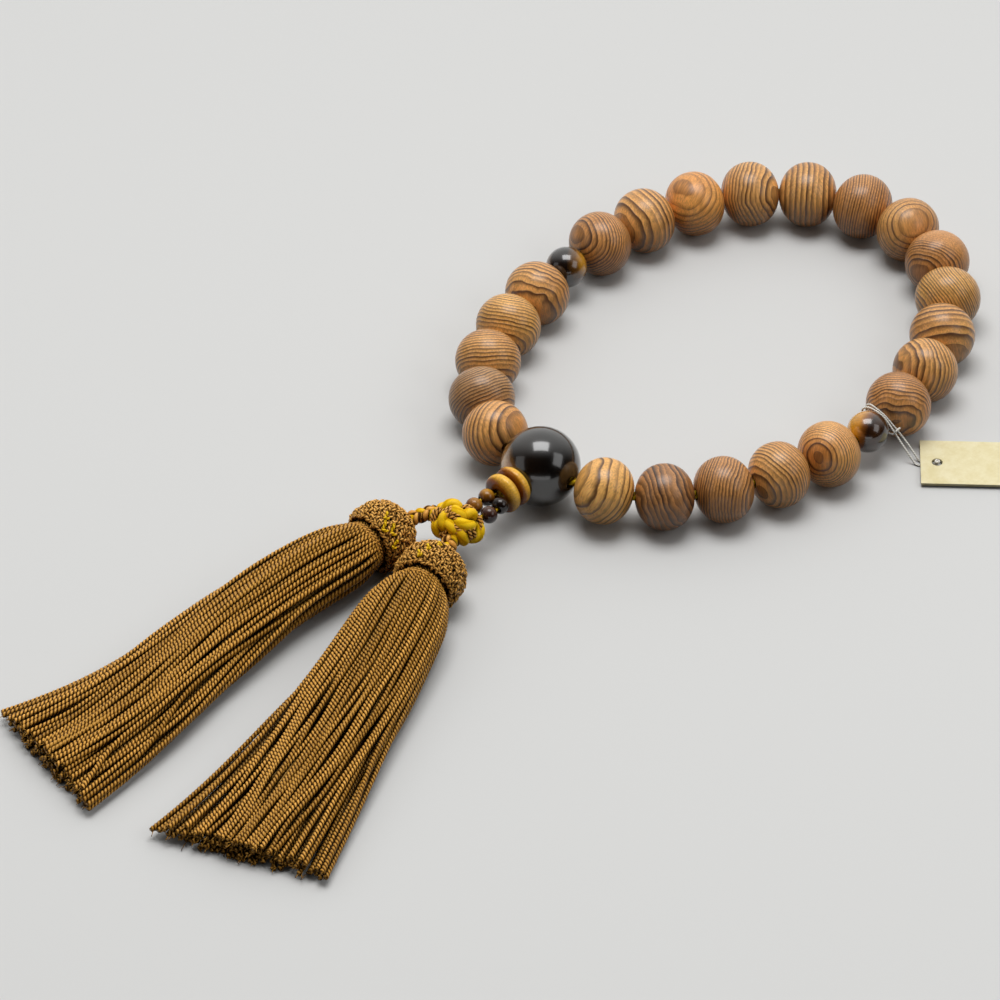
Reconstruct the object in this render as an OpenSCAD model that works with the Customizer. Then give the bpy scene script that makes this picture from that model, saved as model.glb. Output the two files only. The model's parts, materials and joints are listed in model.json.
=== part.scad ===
// Bracelet of prayer beads: wooden beads on one cord, a large bead at the join, and two tassels.
// Millimetres. +Z up, the table is z = 0. The origin is the middle of the loop, +X away from the tassels.

/* [Wooden beads] */
// Diameter of a wooden bead, across the cord
bead_d = 12; // [11:0.5:13]
// Length of a wooden bead, along the cord
bead_len = 10.4; // [10:0.1:11]
// Squareness of a bead's outline: 2 is an ellipse, more is a barrel
bead_power = 2.1; // [2:0.02:2.12]
// Wooden beads between the large bead and each spacer
near_beads = 5; // [5:1:6]
// Wooden beads between the two spacers, round the far side
far_beads = 12; // [12:1:14]

/* [Stone beads] */
// Diameter of the large bead at the join
guru_d = 14.4; // [13:0.2:16]
// Diameter of the two spacer beads
spacer_d = 7.6; // [6:0.2:9]
// Diameter of the two discs beside the large bead
disc_d = 7.4; // [6:0.2:9]
// Thickness of a disc
disc_t = 2.5; // [2.2:0.1:3]
// Diameter of the four small beads before the knot
seed_d = 3.1; // [2.8:0.1:3.2]
// Length of a small bead, along its cord
seed_len = 3; // [2.6:0.1:3.1]

/* [Stringing] */
// Diameter of the cord round the loop
cord_d = 1.8; // [1.2:0.1:2]
// Diameter of the doubled cord through the large bead's third hole
stem_d = 2.6; // [2.2:0.1:2.8]
// Diameter of each of the two cords through the small beads
branch_d = 0.9; // [0.7:0.1:0.9]
// Free space round a cord in its bore
bore_clear = 0.06; // [0.03:0.01:0.1]
// Gap between two beads
bead_gap = 0.5; // [0.45:0.05:0.8]
// Gap on each side of the large bead, where the cord bends most
guru_gap = 0.9; // [0.8:0.1:1.4]
// Gap that the tag's thread is tied in
thread_gap = 1.2; // [0.9:0.1:1.4]

/* [Lie of the loop] */
// How oval the loop lies
ring_oval = 0.173; // [0:0.001:0.18]
// How egg-shaped it lies
ring_egg = 0.013; // [0:0.001:0.015]
// How square its corners are
ring_square = 0.021; // [0:0.001:0.022]

/* [Knot and plaits] */
// Width of the knot, across the neck
knot_w = 10.4; // [9.4:0.2:11]
// Height of the knot
knot_h = 8; // [7.4:0.2:8.4]
// Diameter of a plait
plait_d = 2.6; // [2.2:0.1:2.8]
// Diameter of the neck's rounded end, which turns in the knot
neck_ball_d = 3; // [2.8:0.1:3.4]

/* [Tassels] */
// Outer diameter of a tassel's head
head_d = 12.4; // [12:0.1:12.8]
// Length of the head in front of its widest part
head_front = 5.4; // [4.8:0.1:6]
// Length of the head's cover behind its widest part
head_back = 3.9; // [3.4:0.1:4.6]
// Wall of the crocheted cover
cover_wall = 1.1; // [0.8:0.1:1.3]
// Diameter of the cord of the binding, which goes round twice
binding_d = 1.1; // [0.9:0.1:1.3]
// Distance from the head's widest part to the ends of the left tassel's cords
left_len = 78; // [60:1:84]
// Distance from the head's widest part to the ends of the right tassel's cords
right_len = 73.5; // [60:0.5:80]
// Width of the left tassel at its ends
left_w = 31; // [24:1:33]
// Width of the right tassel at its ends
right_w = 33.5; // [24:0.5:35]
// Thickness of a tassel at its ends
tip_t = 4.5; // [3:0.1:6]

/* [Tag] */
// Length of the card
card_len = 40; // [30:1:50]
// Width of the card
card_w = 12; // [8:0.5:14]
// Thickness of the card
card_t = 0.5; // [0.3:0.1:0.8]
// Diameter of the hole in the card
card_hole_d = 2; // [1.8:0.1:2.6]
// Distance of the hole from the card's end
card_hole_in = 3; // [2:0.1:4]
// Diameter of the tag's thread
thread_d = 0.4; // [0.3:0.05:0.4]

/* [Hidden] */
$fn = 48;
wood_beads = 2 * near_beads + far_beads;
function two_digits(i) = str(i < 10 ? "0" : "", i);
function bead_name(i) = str("bead_", two_digits(i));

// ---- Clearances ----
// Between pieces that slide or turn on each other
run_gap = 0.1;
// Between pieces of one assembly that are sewn or bound together
sewn_gap = 0.05;
// A plait's shaft is this much inside its rounded ends
shaft_in = 0.02;
cord_sides = 16;
mouth_chamfer = 0.4;

// ---- The loop: a closed curve, scaled to the pieces strung on it ----
guru_turn = 180;
egg_turn = 38;
square_turn = -4;
curve_steps = 720;
function ring_shape(a) =
    1 + ring_oval * cos(2 * a) + ring_egg * cos(3 * (a - egg_turn)) + ring_square * cos(4 * (a - square_turn));
function unit_point(a) = ring_shape(a) * [cos(a), sin(a)];
curve_angles = [for (i = [0 : curve_steps]) guru_turn - i * 360 / curve_steps];
curve_points = [for (a = curve_angles) unit_point(a)];
curve_arc = [for (i = 0, s = 0; i <= curve_steps;
    s = s + norm(curve_points[min(i + 1, curve_steps)] - curve_points[i]), i = i + 1) s];

// Pieces in order from the large bead, and the gap that follows each
piece_len = concat(
    [guru_d], [for (i = [1 : near_beads]) bead_len],
    [spacer_d], [for (i = [1 : far_beads]) bead_len],
    [spacer_d], [for (i = [1 : near_beads]) bead_len]
);
pieces = len(piece_len);
left_spacer = near_beads + 1;
right_spacer = near_beads + far_beads + 2;
tag_bend = right_spacer - 1;
gap_after = [for (i = [0 : pieces - 1])
    i == 0 || i == pieces - 1 ? guru_gap : i == tag_bend ? thread_gap : bead_gap];
function sum_to(list, n) = n <= 0 ? 0 : list[n - 1] + sum_to(list, n - 1);
loop_len = sum_to(piece_len, pieces) + sum_to(gap_after, pieces);
ring_r = loop_len / curve_arc[curve_steps];
angle_at = [for (i = [0 : curve_steps]) [curve_arc[i] * ring_r, curve_angles[i]]];

// The cord bends halfway along each gap. Bend i follows piece i.
bead_z = bead_d / 2;
guru_z = guru_d / 2;
function bend_arc(i) = sum_to(piece_len, i + 1) - guru_d / 2 + sum_to(gap_after, i) + gap_after[i] / 2;
function bend_z(i) = i == 0 || i == pieces - 1 ? guru_z : bead_z;
function bend_xy(i) = ring_r * unit_point(lookup(bend_arc(i), angle_at));
bends = [for (i = [0 : pieces - 1]) [bend_xy(i).x, bend_xy(i).y, bend_z(i)]];
function before(i) = bends[(i + pieces - 1) % pieces];
function piece_mid(i) = (before(i) + bends[i]) / 2;
function bead_piece(i) = i <= near_beads ? i : i <= near_beads + far_beads ? i + 1 : i + 2;

// ---- The neck: it leaves the large bead along -X ----
guru_at = piece_mid(0);
function neck_at(s, y = 0) = guru_at + [-s, y, 0];
disc_1_s = guru_d / 2 + disc_t / 10;
disc_2_s = disc_1_s + disc_t + 0.15;
disc_end_s = disc_2_s + disc_t / 2;
// Each branch: where it leaves the stem, bends between its two small beads, and leaves them
fork_s = disc_end_s - 0.95;
fork_y = 0.52;
fork_gap = 0.25;
waist_s = disc_end_s + 3.2;
waist_y = 2.3;
throat_s = waist_s + 3.4;
throat_y = 1.2;
branch_shift = -0.3;
pivot_s = throat_s + 2.25;
neck_pivot = neck_at(pivot_s);
function branch(side) = [
    neck_at(fork_s, side * fork_y),
    neck_at(waist_s, side * waist_y + branch_shift),
    neck_at(throat_s, side * throat_y + branch_shift),
    neck_pivot
];
// Distance of each small bead's middle from the bend between them
seed_in = seed_len / 2 + 0.25;

// ---- The knot, and the two plaits from it to the tassel heads ----
knot_at = neck_pivot + [-1.75, 0.55, 0];
neck_slot_h = 1.6;
neck_slot_turn = 65;
function direction(a) = [cos(a), sin(a), 0];
left_root = knot_at + [-0.9, knot_w / 2 + 0.45, -0.2];
right_root = knot_at + [-knot_h / 2 - 0.3, -2.2, -0.2];
head_z = head_d / 2;
left_turn = 174.9;
right_turn = 195.6;
left_head = [-81.4, 9, head_z];
right_head = [-83.6, -4.5, head_z];
apex_gap = 0.8;
function head_joint(head, turn) = head - direction(turn) * (head_front + apex_gap);

// ---- A tassel's cords: oval sections from the head's core to the loose ends ----
core_d = head_d - 2 * cover_wall - 2 * sewn_gap;
left_start_w = head_d + 0.6;
right_start_w = head_d;
start_t = head_d - 1.4;
cords_d = core_d - 2 * sewn_gap;
core_back = 2.5;
binding_s = head_back + binding_d / 2 + sewn_gap;
bound_end = binding_s + 1.5 * binding_d;
section_sides = 28;
section_steps = 20;
flare_rate = 25;
function eased(t) = exp(-flare_rate * t);

// ---- The tag: its thread is tied round the cord before the right-hand spacer ----
tag_pivot = bends[tag_bend];
tag_chord = unit(bends[(tag_bend + 1) % pieces] - before(tag_bend));
tag_turn = atan2(tag_chord.y, tag_chord.x) + 90;
function unit(v) = v / norm(v);
card_out = 8.65;
card_side = -0.2;
card_z = 0.45;
card_turn = 35.6;
thread_sides = 8;
// [out from the cord, towards the bead, up from the cord]; the second half mirrors the first
thread_half = [
    [11.1, 1.9, -5.1], [11.0, 1.9, -5.5], [10.6, 1.75, -5.76], [9.5, 1.0, -5.77], [8.2, 0.3, -5.77],
    [7.4, 0.22, -5.35], [5.3, 0.22, -3.2], [2.8, 0.22, -0.9], [0.9, 0.22, 0.7], [-0.1, 0.22, 1.3],
    [-1.4, 0.22, 1.7], [-2.8, 0.22, 1.9], [-3.8, 0.22, 1.4], [-4.1, 0.22, 0.4], [-3.4, 0.22, -0.6],
    [-1.9, 0.22, -1.3], [0, 0.25, -1.55], [1.4, 0.42, -1.7], [2.8, 0.64, -1.35], [3.3, 0.6, -0.5]
];
thread_bar = [3.4, 0, -0.2];
hole_side = 1.55;

// ---- Shapes ----
// Lies the child's +Z along the line from a to b, with its origin at a
module lay(a, b) {
    d = b - a;
    translate(a)
        rotate([0, acos(d.z / norm(d)), atan2(d.y, d.x)])
            children();
}

module rod(a, b, d) {
    lay(a, b)
        cylinder(d = d, h = norm(b - a));
}

function power_of(v, p) = sign(v) * pow(abs(v), p);

// A turned bead about Z: its outline is a superellipse, its bore is chamfered at both mouths
module turned(length, d, power, bore_d, chamfer) {
    steps = 24;
    outline = [for (i = [0 : steps])
        let (t = 180 * i / steps)
        [d / 2 * pow(sin(t), 2 / power), length / 2 * power_of(cos(t), 2 / power)]];
    difference() {
        rotate_extrude()
            polygon(outline);
        cylinder(d = bore_d, h = length + 2, center = true);
        for (end = [-1, 1])
            translate([0, 0, end * length / 2])
                cylinder(d1 = bore_d + (end < 0 ? 2 : 0) * 1.2 * chamfer, d2 = bore_d + (end > 0 ? 2 : 0) * 1.2 * chamfer,
                    h = 2.4 * chamfer, center = true);
    }
}

// A bead strung between the bends before and after piece i
module strung(i, d, power) {
    mid = piece_mid(i);
    lay(mid, bends[i])
        turned(piece_len[i], d, power, cord_d + 2 * bore_clear, mouth_chamfer);
}

module wood_bead(i) {
    color("peru")
        strung(bead_piece(i), bead_d, bead_power);
}

module spacer(i) {
    color("saddlebrown")
        strung(i, spacer_d, 2);
}

module guru_bead() {
    color([0.16, 0.08, 0.05])
        difference() {
            strung(0, guru_d, 2);
            rod(neck_at(-bore_clear), neck_at(guru_d), stem_d + 2 * bore_clear);
        }
}

// A ring of points round the cord at a bend between two runs, mitred so that both keep their width
function bend_ring(a, at, b, d) =
    let (
        along = unit(at - a),
        heading = unit(along + unit(b - at)),
        side = unit(cross(heading, [0, 0, 1])),
        up = cross(side, heading),
        stretch = 1 / (along * heading)
    )
    [for (k = [0 : cord_sides - 1])
        let (turn = 360 * k / cord_sides)
        at + d / 2 * (stretch * cos(turn) * side + sin(turn) * up)];

module stringing_cord() {
    color("gold")
        closed_tube_mesh(
            [for (i = [0 : pieces - 1]) bend_ring(before(i), bends[i], bends[(i + 1) % pieces], cord_d)],
            cord_sides
        );
}

// The doubled end of that cord goes out through the discs
module neck_stem() {
    color("gold")
        rod(neck_at(cord_d / 2 + sewn_gap), neck_at(fork_s - fork_gap), stem_d);
}

// It parts into two branches, which carry the small beads and meet again in the knot
module neck_branch(side) {
    path = branch(side);
    last_heading = unit(path[3] - path[2]);
    end = path[3] - last_heading * (neck_ball_d / 2 + sewn_gap);
    color("gold")
        tube_mesh(
            [
                bend_ring(2 * path[0] - path[1], path[0], path[1], branch_d),
                bend_ring(path[0], path[1], path[2], branch_d),
                bend_ring(path[1], path[2], path[3], branch_d),
                bend_ring(path[2], end, path[3], branch_d)
            ],
            cord_sides
        );
}

module neck_end() {
    color("gold")
        translate(neck_pivot)
            sphere(d = neck_ball_d);
}

// The first disc is hollowed to sit on the large bead
module neck_disc_1() {
    color("goldenrod")
        difference() {
            lay(neck_at(disc_1_s), neck_at(disc_end_s))
                turned(disc_t, disc_d, 3, stem_d + 2 * bore_clear, 0.1);
            translate(guru_at)
                sphere(d = guru_d + 2 * run_gap);
        }
}

module neck_disc_2() {
    color("goldenrod")
        lay(neck_at(disc_2_s), neck_at(disc_end_s))
            turned(disc_t, disc_d, 3, stem_d + 2 * bore_clear, 0.5);
}

// Seeds 1 and 2 are on the left cord, 3 and 4 on the right, counted from the large bead
module neck_seed(i) {
    path = branch(i <= 2 ? 1 : -1);
    next = i % 2 == 1 ? path[0] : path[2];
    along = unit(next - path[1]);
    mid = path[1] + along * seed_in;
    color("sienna")
        lay(mid, mid + along)
            turned(seed_len, seed_d, 2, branch_d + 2 * bore_clear, 0.1);
}

module knot() {
    color("olive")
        difference() {
            translate(knot_at)
                rotate([90, 0, 0])
                    rotate_extrude()
                        polygon([for (i = [0 : 24])
                            let (t = 180 * i / 24)
                            [knot_h / 2 * sin(t), knot_w / 2 * cos(t)]]);
            translate(neck_pivot)
                sphere(d = neck_ball_d + 2 * bore_clear);
            // The neck's two branches swing in this slot
            translate(neck_pivot - [0, 0, neck_slot_h / 2])
                linear_extrude(neck_slot_h)
                    polygon([[-0.6, 0], [0, 1.4], [knot_h, knot_h * tan(neck_slot_turn)],
                        [knot_h, -knot_h * tan(neck_slot_turn)], [0, -1.4]]);
            for (root = [left_root, right_root])
                translate(root)
                    sphere(d = plait_d + 2 * run_gap);
        }
}

module plait(root, joint) {
    color("olive") {
        rod(root, joint, plait_d - 2 * shaft_in);
        for (end = [root, joint])
            translate(end)
                sphere(d = plait_d);
    }
}

// The shell of a head, about +X from its widest part: round in front, nearly straight behind
module head_solid(d, front, back) {
    steps = 12;
    rotate([0, 90, 0])
        rotate_extrude()
            polygon(concat(
                [for (i = [0 : steps]) [d / 2 * sin(90 * i / steps), -front * cos(90 * i / steps)]],
                [[d / 2, back], [0, back]]
            ));
}

module at_head(head, turn) {
    translate(head)
        rotate([0, 0, turn])
            children();
}

module tassel_cover(head, turn) {
    color("sienna")
        difference() {
            at_head(head, turn)
                difference() {
                    head_solid(head_d, head_front, head_back);
                    head_solid(head_d - 2 * cover_wall, head_front - cover_wall, head_back + 1);
                }
            translate(head_joint(head, turn))
                sphere(d = plait_d + 2 * run_gap);
        }
}

module tassel_core(head, turn) {
    color("saddlebrown")
        at_head(head, turn)
            head_solid(core_d, head_front - cover_wall - sewn_gap, core_back);
}

module tassel_binding(head, turn) {
    color("sienna")
        at_head(head, turn)
            rotate([0, 90, 0])
                for (row = [0, 1])
                    translate([0, 0, binding_s + row * 0.95 * binding_d])
                        rotate_extrude()
                            translate([core_d / 2 + binding_d / 2, 0])
                                circle(d = binding_d);
}

// Width and thickness grow from the bound end; the underside comes down onto the table
module tassel_cords(head, turn, length, width, start_w, start_t, spread, bend, bulge) {
    along = direction(turn);
    across = direction(turn + 90);
    function section_w(t) = start_w + (width - start_w) * pow(t, spread) - (start_w - cords_d) * eased(t);
    function section_t(t) = tip_t + (start_t - tip_t) * pow(1 - t, 1.3) - (start_t - cords_d) * eased(t);
    function section(s, t) =
        let (mid = head + along * s + across * bulge * sin(180 * t), side = direction(turn + 90 + bend * t))
        [for (k = [0 : section_sides - 1])
            let (a = 360 * k / section_sides, thick = section_t(t))
            [mid.x, mid.y, thick / 2 + (head_z - cords_d / 2) * pow(1 - t, 2)]
                + side * section_w(t) / 2 * cos(a) + [0, 0, thick / 2 * sin(a)]];
    rings = concat(
        [section(core_back + sewn_gap, 0)],
        [for (i = [0 : section_steps])
            let (t = pow(i / section_steps, 1.5))
            section(bound_end + (length - bound_end) * t, t)]
    );
    color("darkgoldenrod")
        tube_mesh(rings, section_sides);
}

// One closed mesh through a list of rings of points
module tube_mesh(rings, sides) {
    last = (len(rings) - 1) * sides;
    polyhedron(
        points = [for (ring = rings) each ring],
        faces = concat(
            [for (k = [1 : sides - 2]) [0, k, k + 1]],
            [for (i = [0 : len(rings) - 2], k = [0 : sides - 1])
                let (a = i * sides + k, b = i * sides + (k + 1) % sides)
                each [[a, a + sides, b + sides], [a, b + sides, b]]],
            [for (k = [1 : sides - 2]) [last, last + k + 1, last + k]]
        )
    );
}

// One closed mesh through a ring of rings of points
module closed_tube_mesh(rings, sides) {
    count = len(rings);
    polyhedron(
        points = [for (ring = rings) each ring],
        faces = [for (i = [0 : count - 1], k = [0 : sides - 1])
            let (a = i * sides + k, b = i * sides + (k + 1) % sides,
                c = (i + 1) % count * sides + k, d = (i + 1) % count * sides + (k + 1) % sides)
            each [[a, b, d], [a, d, c]]]
    );
}

// ---- The tag's thread: a round tube through a smooth curve along the route ----
thread_route = concat(
    thread_half,
    [thread_bar],
    [for (i = [len(thread_half) - 1 : -1 : 0])
        let (p = thread_half[i], far = i < 5 ? 2 * hole_side * [1, 1, 0.9, 0.3, 0][i] : 0)
        [p.x, far - p.y, p.z]]
);
function curve_between(a, b, c, d, t) =
    (2 * b + (c - a) * t + (2 * a - 5 * b + 4 * c - d) * t * t + (3 * b - a - 3 * c + d) * t * t * t) / 2;
function route_at(i) = thread_route[max(0, min(len(thread_route) - 1, i))];
thread_curve = concat(
    [for (i = [0 : len(thread_route) - 2], t = [0, 0.5])
        curve_between(route_at(i - 1), route_at(i), route_at(i + 1), route_at(i + 2), t)],
    [route_at(len(thread_route) - 1)]
);

module tag_thread() {
    count = len(thread_curve);
    function heading(i) = unit(thread_curve[min(i + 1, count - 1)] - thread_curve[max(i - 1, 0)]);
    // The ring's own axes are carried along the curve, so that the tube doesn't twist
    sides_at = [for (i = 0, n = unit(cross(heading(0), [0, 1, 0])); i < count;
        i = i + 1, n = i < count ? unit(n - heading(i) * (n * heading(i))) : n) n];
    rings = [for (i = [0 : count - 1])
        let (n = sides_at[i], b = cross(heading(i), n))
        [for (k = [0 : thread_sides - 1])
            thread_curve[i] + thread_d / 2 * (cos(360 * k / thread_sides) * n + sin(360 * k / thread_sides) * b)]];
    color("white")
        translate(tag_pivot)
            rotate([0, 0, tag_turn])
                tube_mesh(rings, thread_sides);
}

module tag_card() {
    color("cornsilk")
        translate([tag_pivot.x, tag_pivot.y, card_z])
            rotate([0, 0, tag_turn])
                translate([card_out, card_side, 0])
                    rotate([0, 0, card_turn])
                        difference() {
                            translate([0, -card_w / 2, 0])
                                cube([card_len, card_w, card_t]);
                            translate([card_hole_in, 0, -1])
                                cylinder(d = card_hole_d, h = card_t + 2);
                        }
}

// ---- Draw the requested node, or all of them ----
for (i = [1 : wood_beads])
    wood_bead(i);
spacer(left_spacer);  // spacer_left
spacer(right_spacer);  // spacer_right
guru_bead();
stringing_cord();
neck_stem();
neck_branch(1);  // neck_branch_left
neck_branch(-1);  // neck_branch_right
neck_end();
neck_disc_1();
neck_disc_2();
for (i = [1 : 4])
    neck_seed(i);
knot();
plait(left_root, head_joint(left_head, left_turn));  // plait_left
plait(right_root, head_joint(right_head, right_turn));  // plait_right
tassel_cover(left_head, left_turn);  // tassel_left_cover
tassel_core(left_head, left_turn);  // tassel_left_core
tassel_binding(left_head, left_turn);  // tassel_left_binding
tassel_cords(left_head, left_turn, left_len, left_w, left_start_w, start_t, 1.7, -9.9, -1.2);  // tassel_left_cords
tassel_cover(right_head, right_turn);  // tassel_right_cover
tassel_core(right_head, right_turn);  // tassel_right_core
tassel_binding(right_head, right_turn);  // tassel_right_binding
tassel_cords(right_head, right_turn, right_len, right_w, right_start_w, start_t, 1.35, 5.4, 0.5);  // tassel_right_cords
tag_thread();
tag_card();
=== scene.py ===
"""A mala: wooden prayer beads on a yellow cord, stone beads, a tied knot, two tassels and a card tag."""

import json
import logging
import math
from dataclasses import dataclass
from enum import Enum

import bpy
import numpy as np
from mathutils import Matrix, Vector


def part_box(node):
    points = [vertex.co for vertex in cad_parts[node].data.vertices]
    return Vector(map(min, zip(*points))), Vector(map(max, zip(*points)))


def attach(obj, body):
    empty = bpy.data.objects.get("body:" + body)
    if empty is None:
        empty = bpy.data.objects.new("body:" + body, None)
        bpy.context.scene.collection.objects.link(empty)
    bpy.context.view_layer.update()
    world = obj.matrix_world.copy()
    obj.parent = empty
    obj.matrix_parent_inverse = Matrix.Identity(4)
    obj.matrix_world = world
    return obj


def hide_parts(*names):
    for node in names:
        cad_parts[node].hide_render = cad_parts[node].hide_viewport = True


log = logging.getLogger("mala")
MM = 0.001
BEAD_RADIUS = 6.0  # of a wooden bead, in mm
UP = np.array([0.0, 0.0, 1.0])
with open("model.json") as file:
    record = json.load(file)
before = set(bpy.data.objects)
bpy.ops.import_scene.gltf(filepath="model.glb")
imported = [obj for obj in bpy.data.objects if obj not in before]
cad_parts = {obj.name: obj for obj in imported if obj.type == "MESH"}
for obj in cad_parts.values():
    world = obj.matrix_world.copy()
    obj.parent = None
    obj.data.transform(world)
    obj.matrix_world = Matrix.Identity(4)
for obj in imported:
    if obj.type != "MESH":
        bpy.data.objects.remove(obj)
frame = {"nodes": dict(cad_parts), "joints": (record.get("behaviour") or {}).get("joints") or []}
JOINTS = {joint["child"]: joint for joint in frame["joints"]}


# ---------------------------------------------------------------- small tools
def linear(hex_colour: str) -> tuple[float, float, float, float]:
    """Turn an sRGB hex colour to linear RGBA.

    Args:
        hex_colour: Six hex digits, with or without a leading #.

    Returns:
        Linear red, green, blue and an alpha of 1.
    """
    digits = hex_colour.lstrip("#")
    srgb = [int(digits[i : i + 2], 16) / 255 for i in (0, 2, 4)]
    return tuple(c / 12.92 if c <= 0.04045 else ((c + 0.055) / 1.055) ** 2.4 for c in srgb) + (1.0,)


def unit(vector: np.ndarray) -> np.ndarray:
    """Return the vector at length 1."""
    vector = np.asarray(vector, float)
    return vector / np.linalg.norm(vector)


def joint_at(body: str) -> np.ndarray:
    """Return the place in mm of the joint that carries a body."""
    return np.array(JOINTS[body]["pos_m"]) / MM


def joint_axis(body: str) -> np.ndarray:
    """Return the axis of the joint that carries a body."""
    return unit(JOINTS[body]["axis"])


def joint_turn(body: str) -> float:
    """Return, in degrees from +X, the level direction a quarter turn on from a body's level joint axis."""
    axis = joint_axis(body)
    return math.degrees(math.atan2(axis[1], axis[0])) + 90


def heading(degrees: float) -> np.ndarray:
    """Return the level direction that is this many degrees from +X."""
    return np.array([math.cos(math.radians(degrees)), math.sin(math.radians(degrees)), 0.0])


def eased(value: np.ndarray, low: float, high: float) -> np.ndarray:
    """Return 0 below low and 1 above high, with a smooth change between them."""
    t = np.clip((np.asarray(value, float) - low) / (high - low), 0, 1)
    return t * t * (3 - 2 * t)


def full_turn(count: int) -> np.ndarray:
    """Return this many angles, evenly round a circle."""
    return 2 * math.pi * np.arange(count) / count


def round_about(
    middle: np.ndarray, reach: np.ndarray, angle: np.ndarray, first: np.ndarray, second: np.ndarray
) -> np.ndarray:
    """Return the points at each reach and angle about a middle, measured from first towards second."""
    return middle + (reach * np.cos(angle))[..., None] * first + (reach * np.sin(angle))[..., None] * second


def curve_through(points: np.ndarray, steps: int) -> np.ndarray:
    """Run a smooth curve through points.

    Args:
        points: The points, N by 3.
        steps: Pieces between one point and the next.

    Returns:
        The points of the curve.
    """
    points = np.asarray(points, float)
    padded = np.vstack([2 * points[0] - points[1], points, 2 * points[-1] - points[-2]])
    t = np.linspace(0, 1, steps, endpoint=False)[:, None]
    runs = []
    for a, b, c, d in zip(padded[:-3], padded[1:-2], padded[2:-1], padded[3:]):
        runs.append((2 * b + (c - a) * t + (2 * a - 5 * b + 4 * c - d) * t**2 + (3 * b - a - 3 * c + d) * t**3) / 2)
    return np.vstack(runs + [points[-1:]])


def distances(points: np.ndarray) -> np.ndarray:
    """Return how far along a line each of its points is."""
    return np.concatenate([[0], np.cumsum(np.linalg.norm(np.diff(points, axis=0), axis=1))])


def spaced(points: np.ndarray, step: float) -> np.ndarray:
    """Return points the same distance apart, about step, along a line."""
    along = distances(points)
    at = np.linspace(0, along[-1], max(3, int(round(along[-1] / step)) + 1))
    return np.column_stack([np.interp(at, along, points[:, k]) for k in range(3)])


def hand_over(piece: bpy.types.Object, body: str, slot: str, *nodes: str) -> None:
    """Hang a piece from the body that carries it and hide the CAD nodes that it stands for."""
    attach(piece, body)
    if nodes:
        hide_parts(*nodes)


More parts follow.
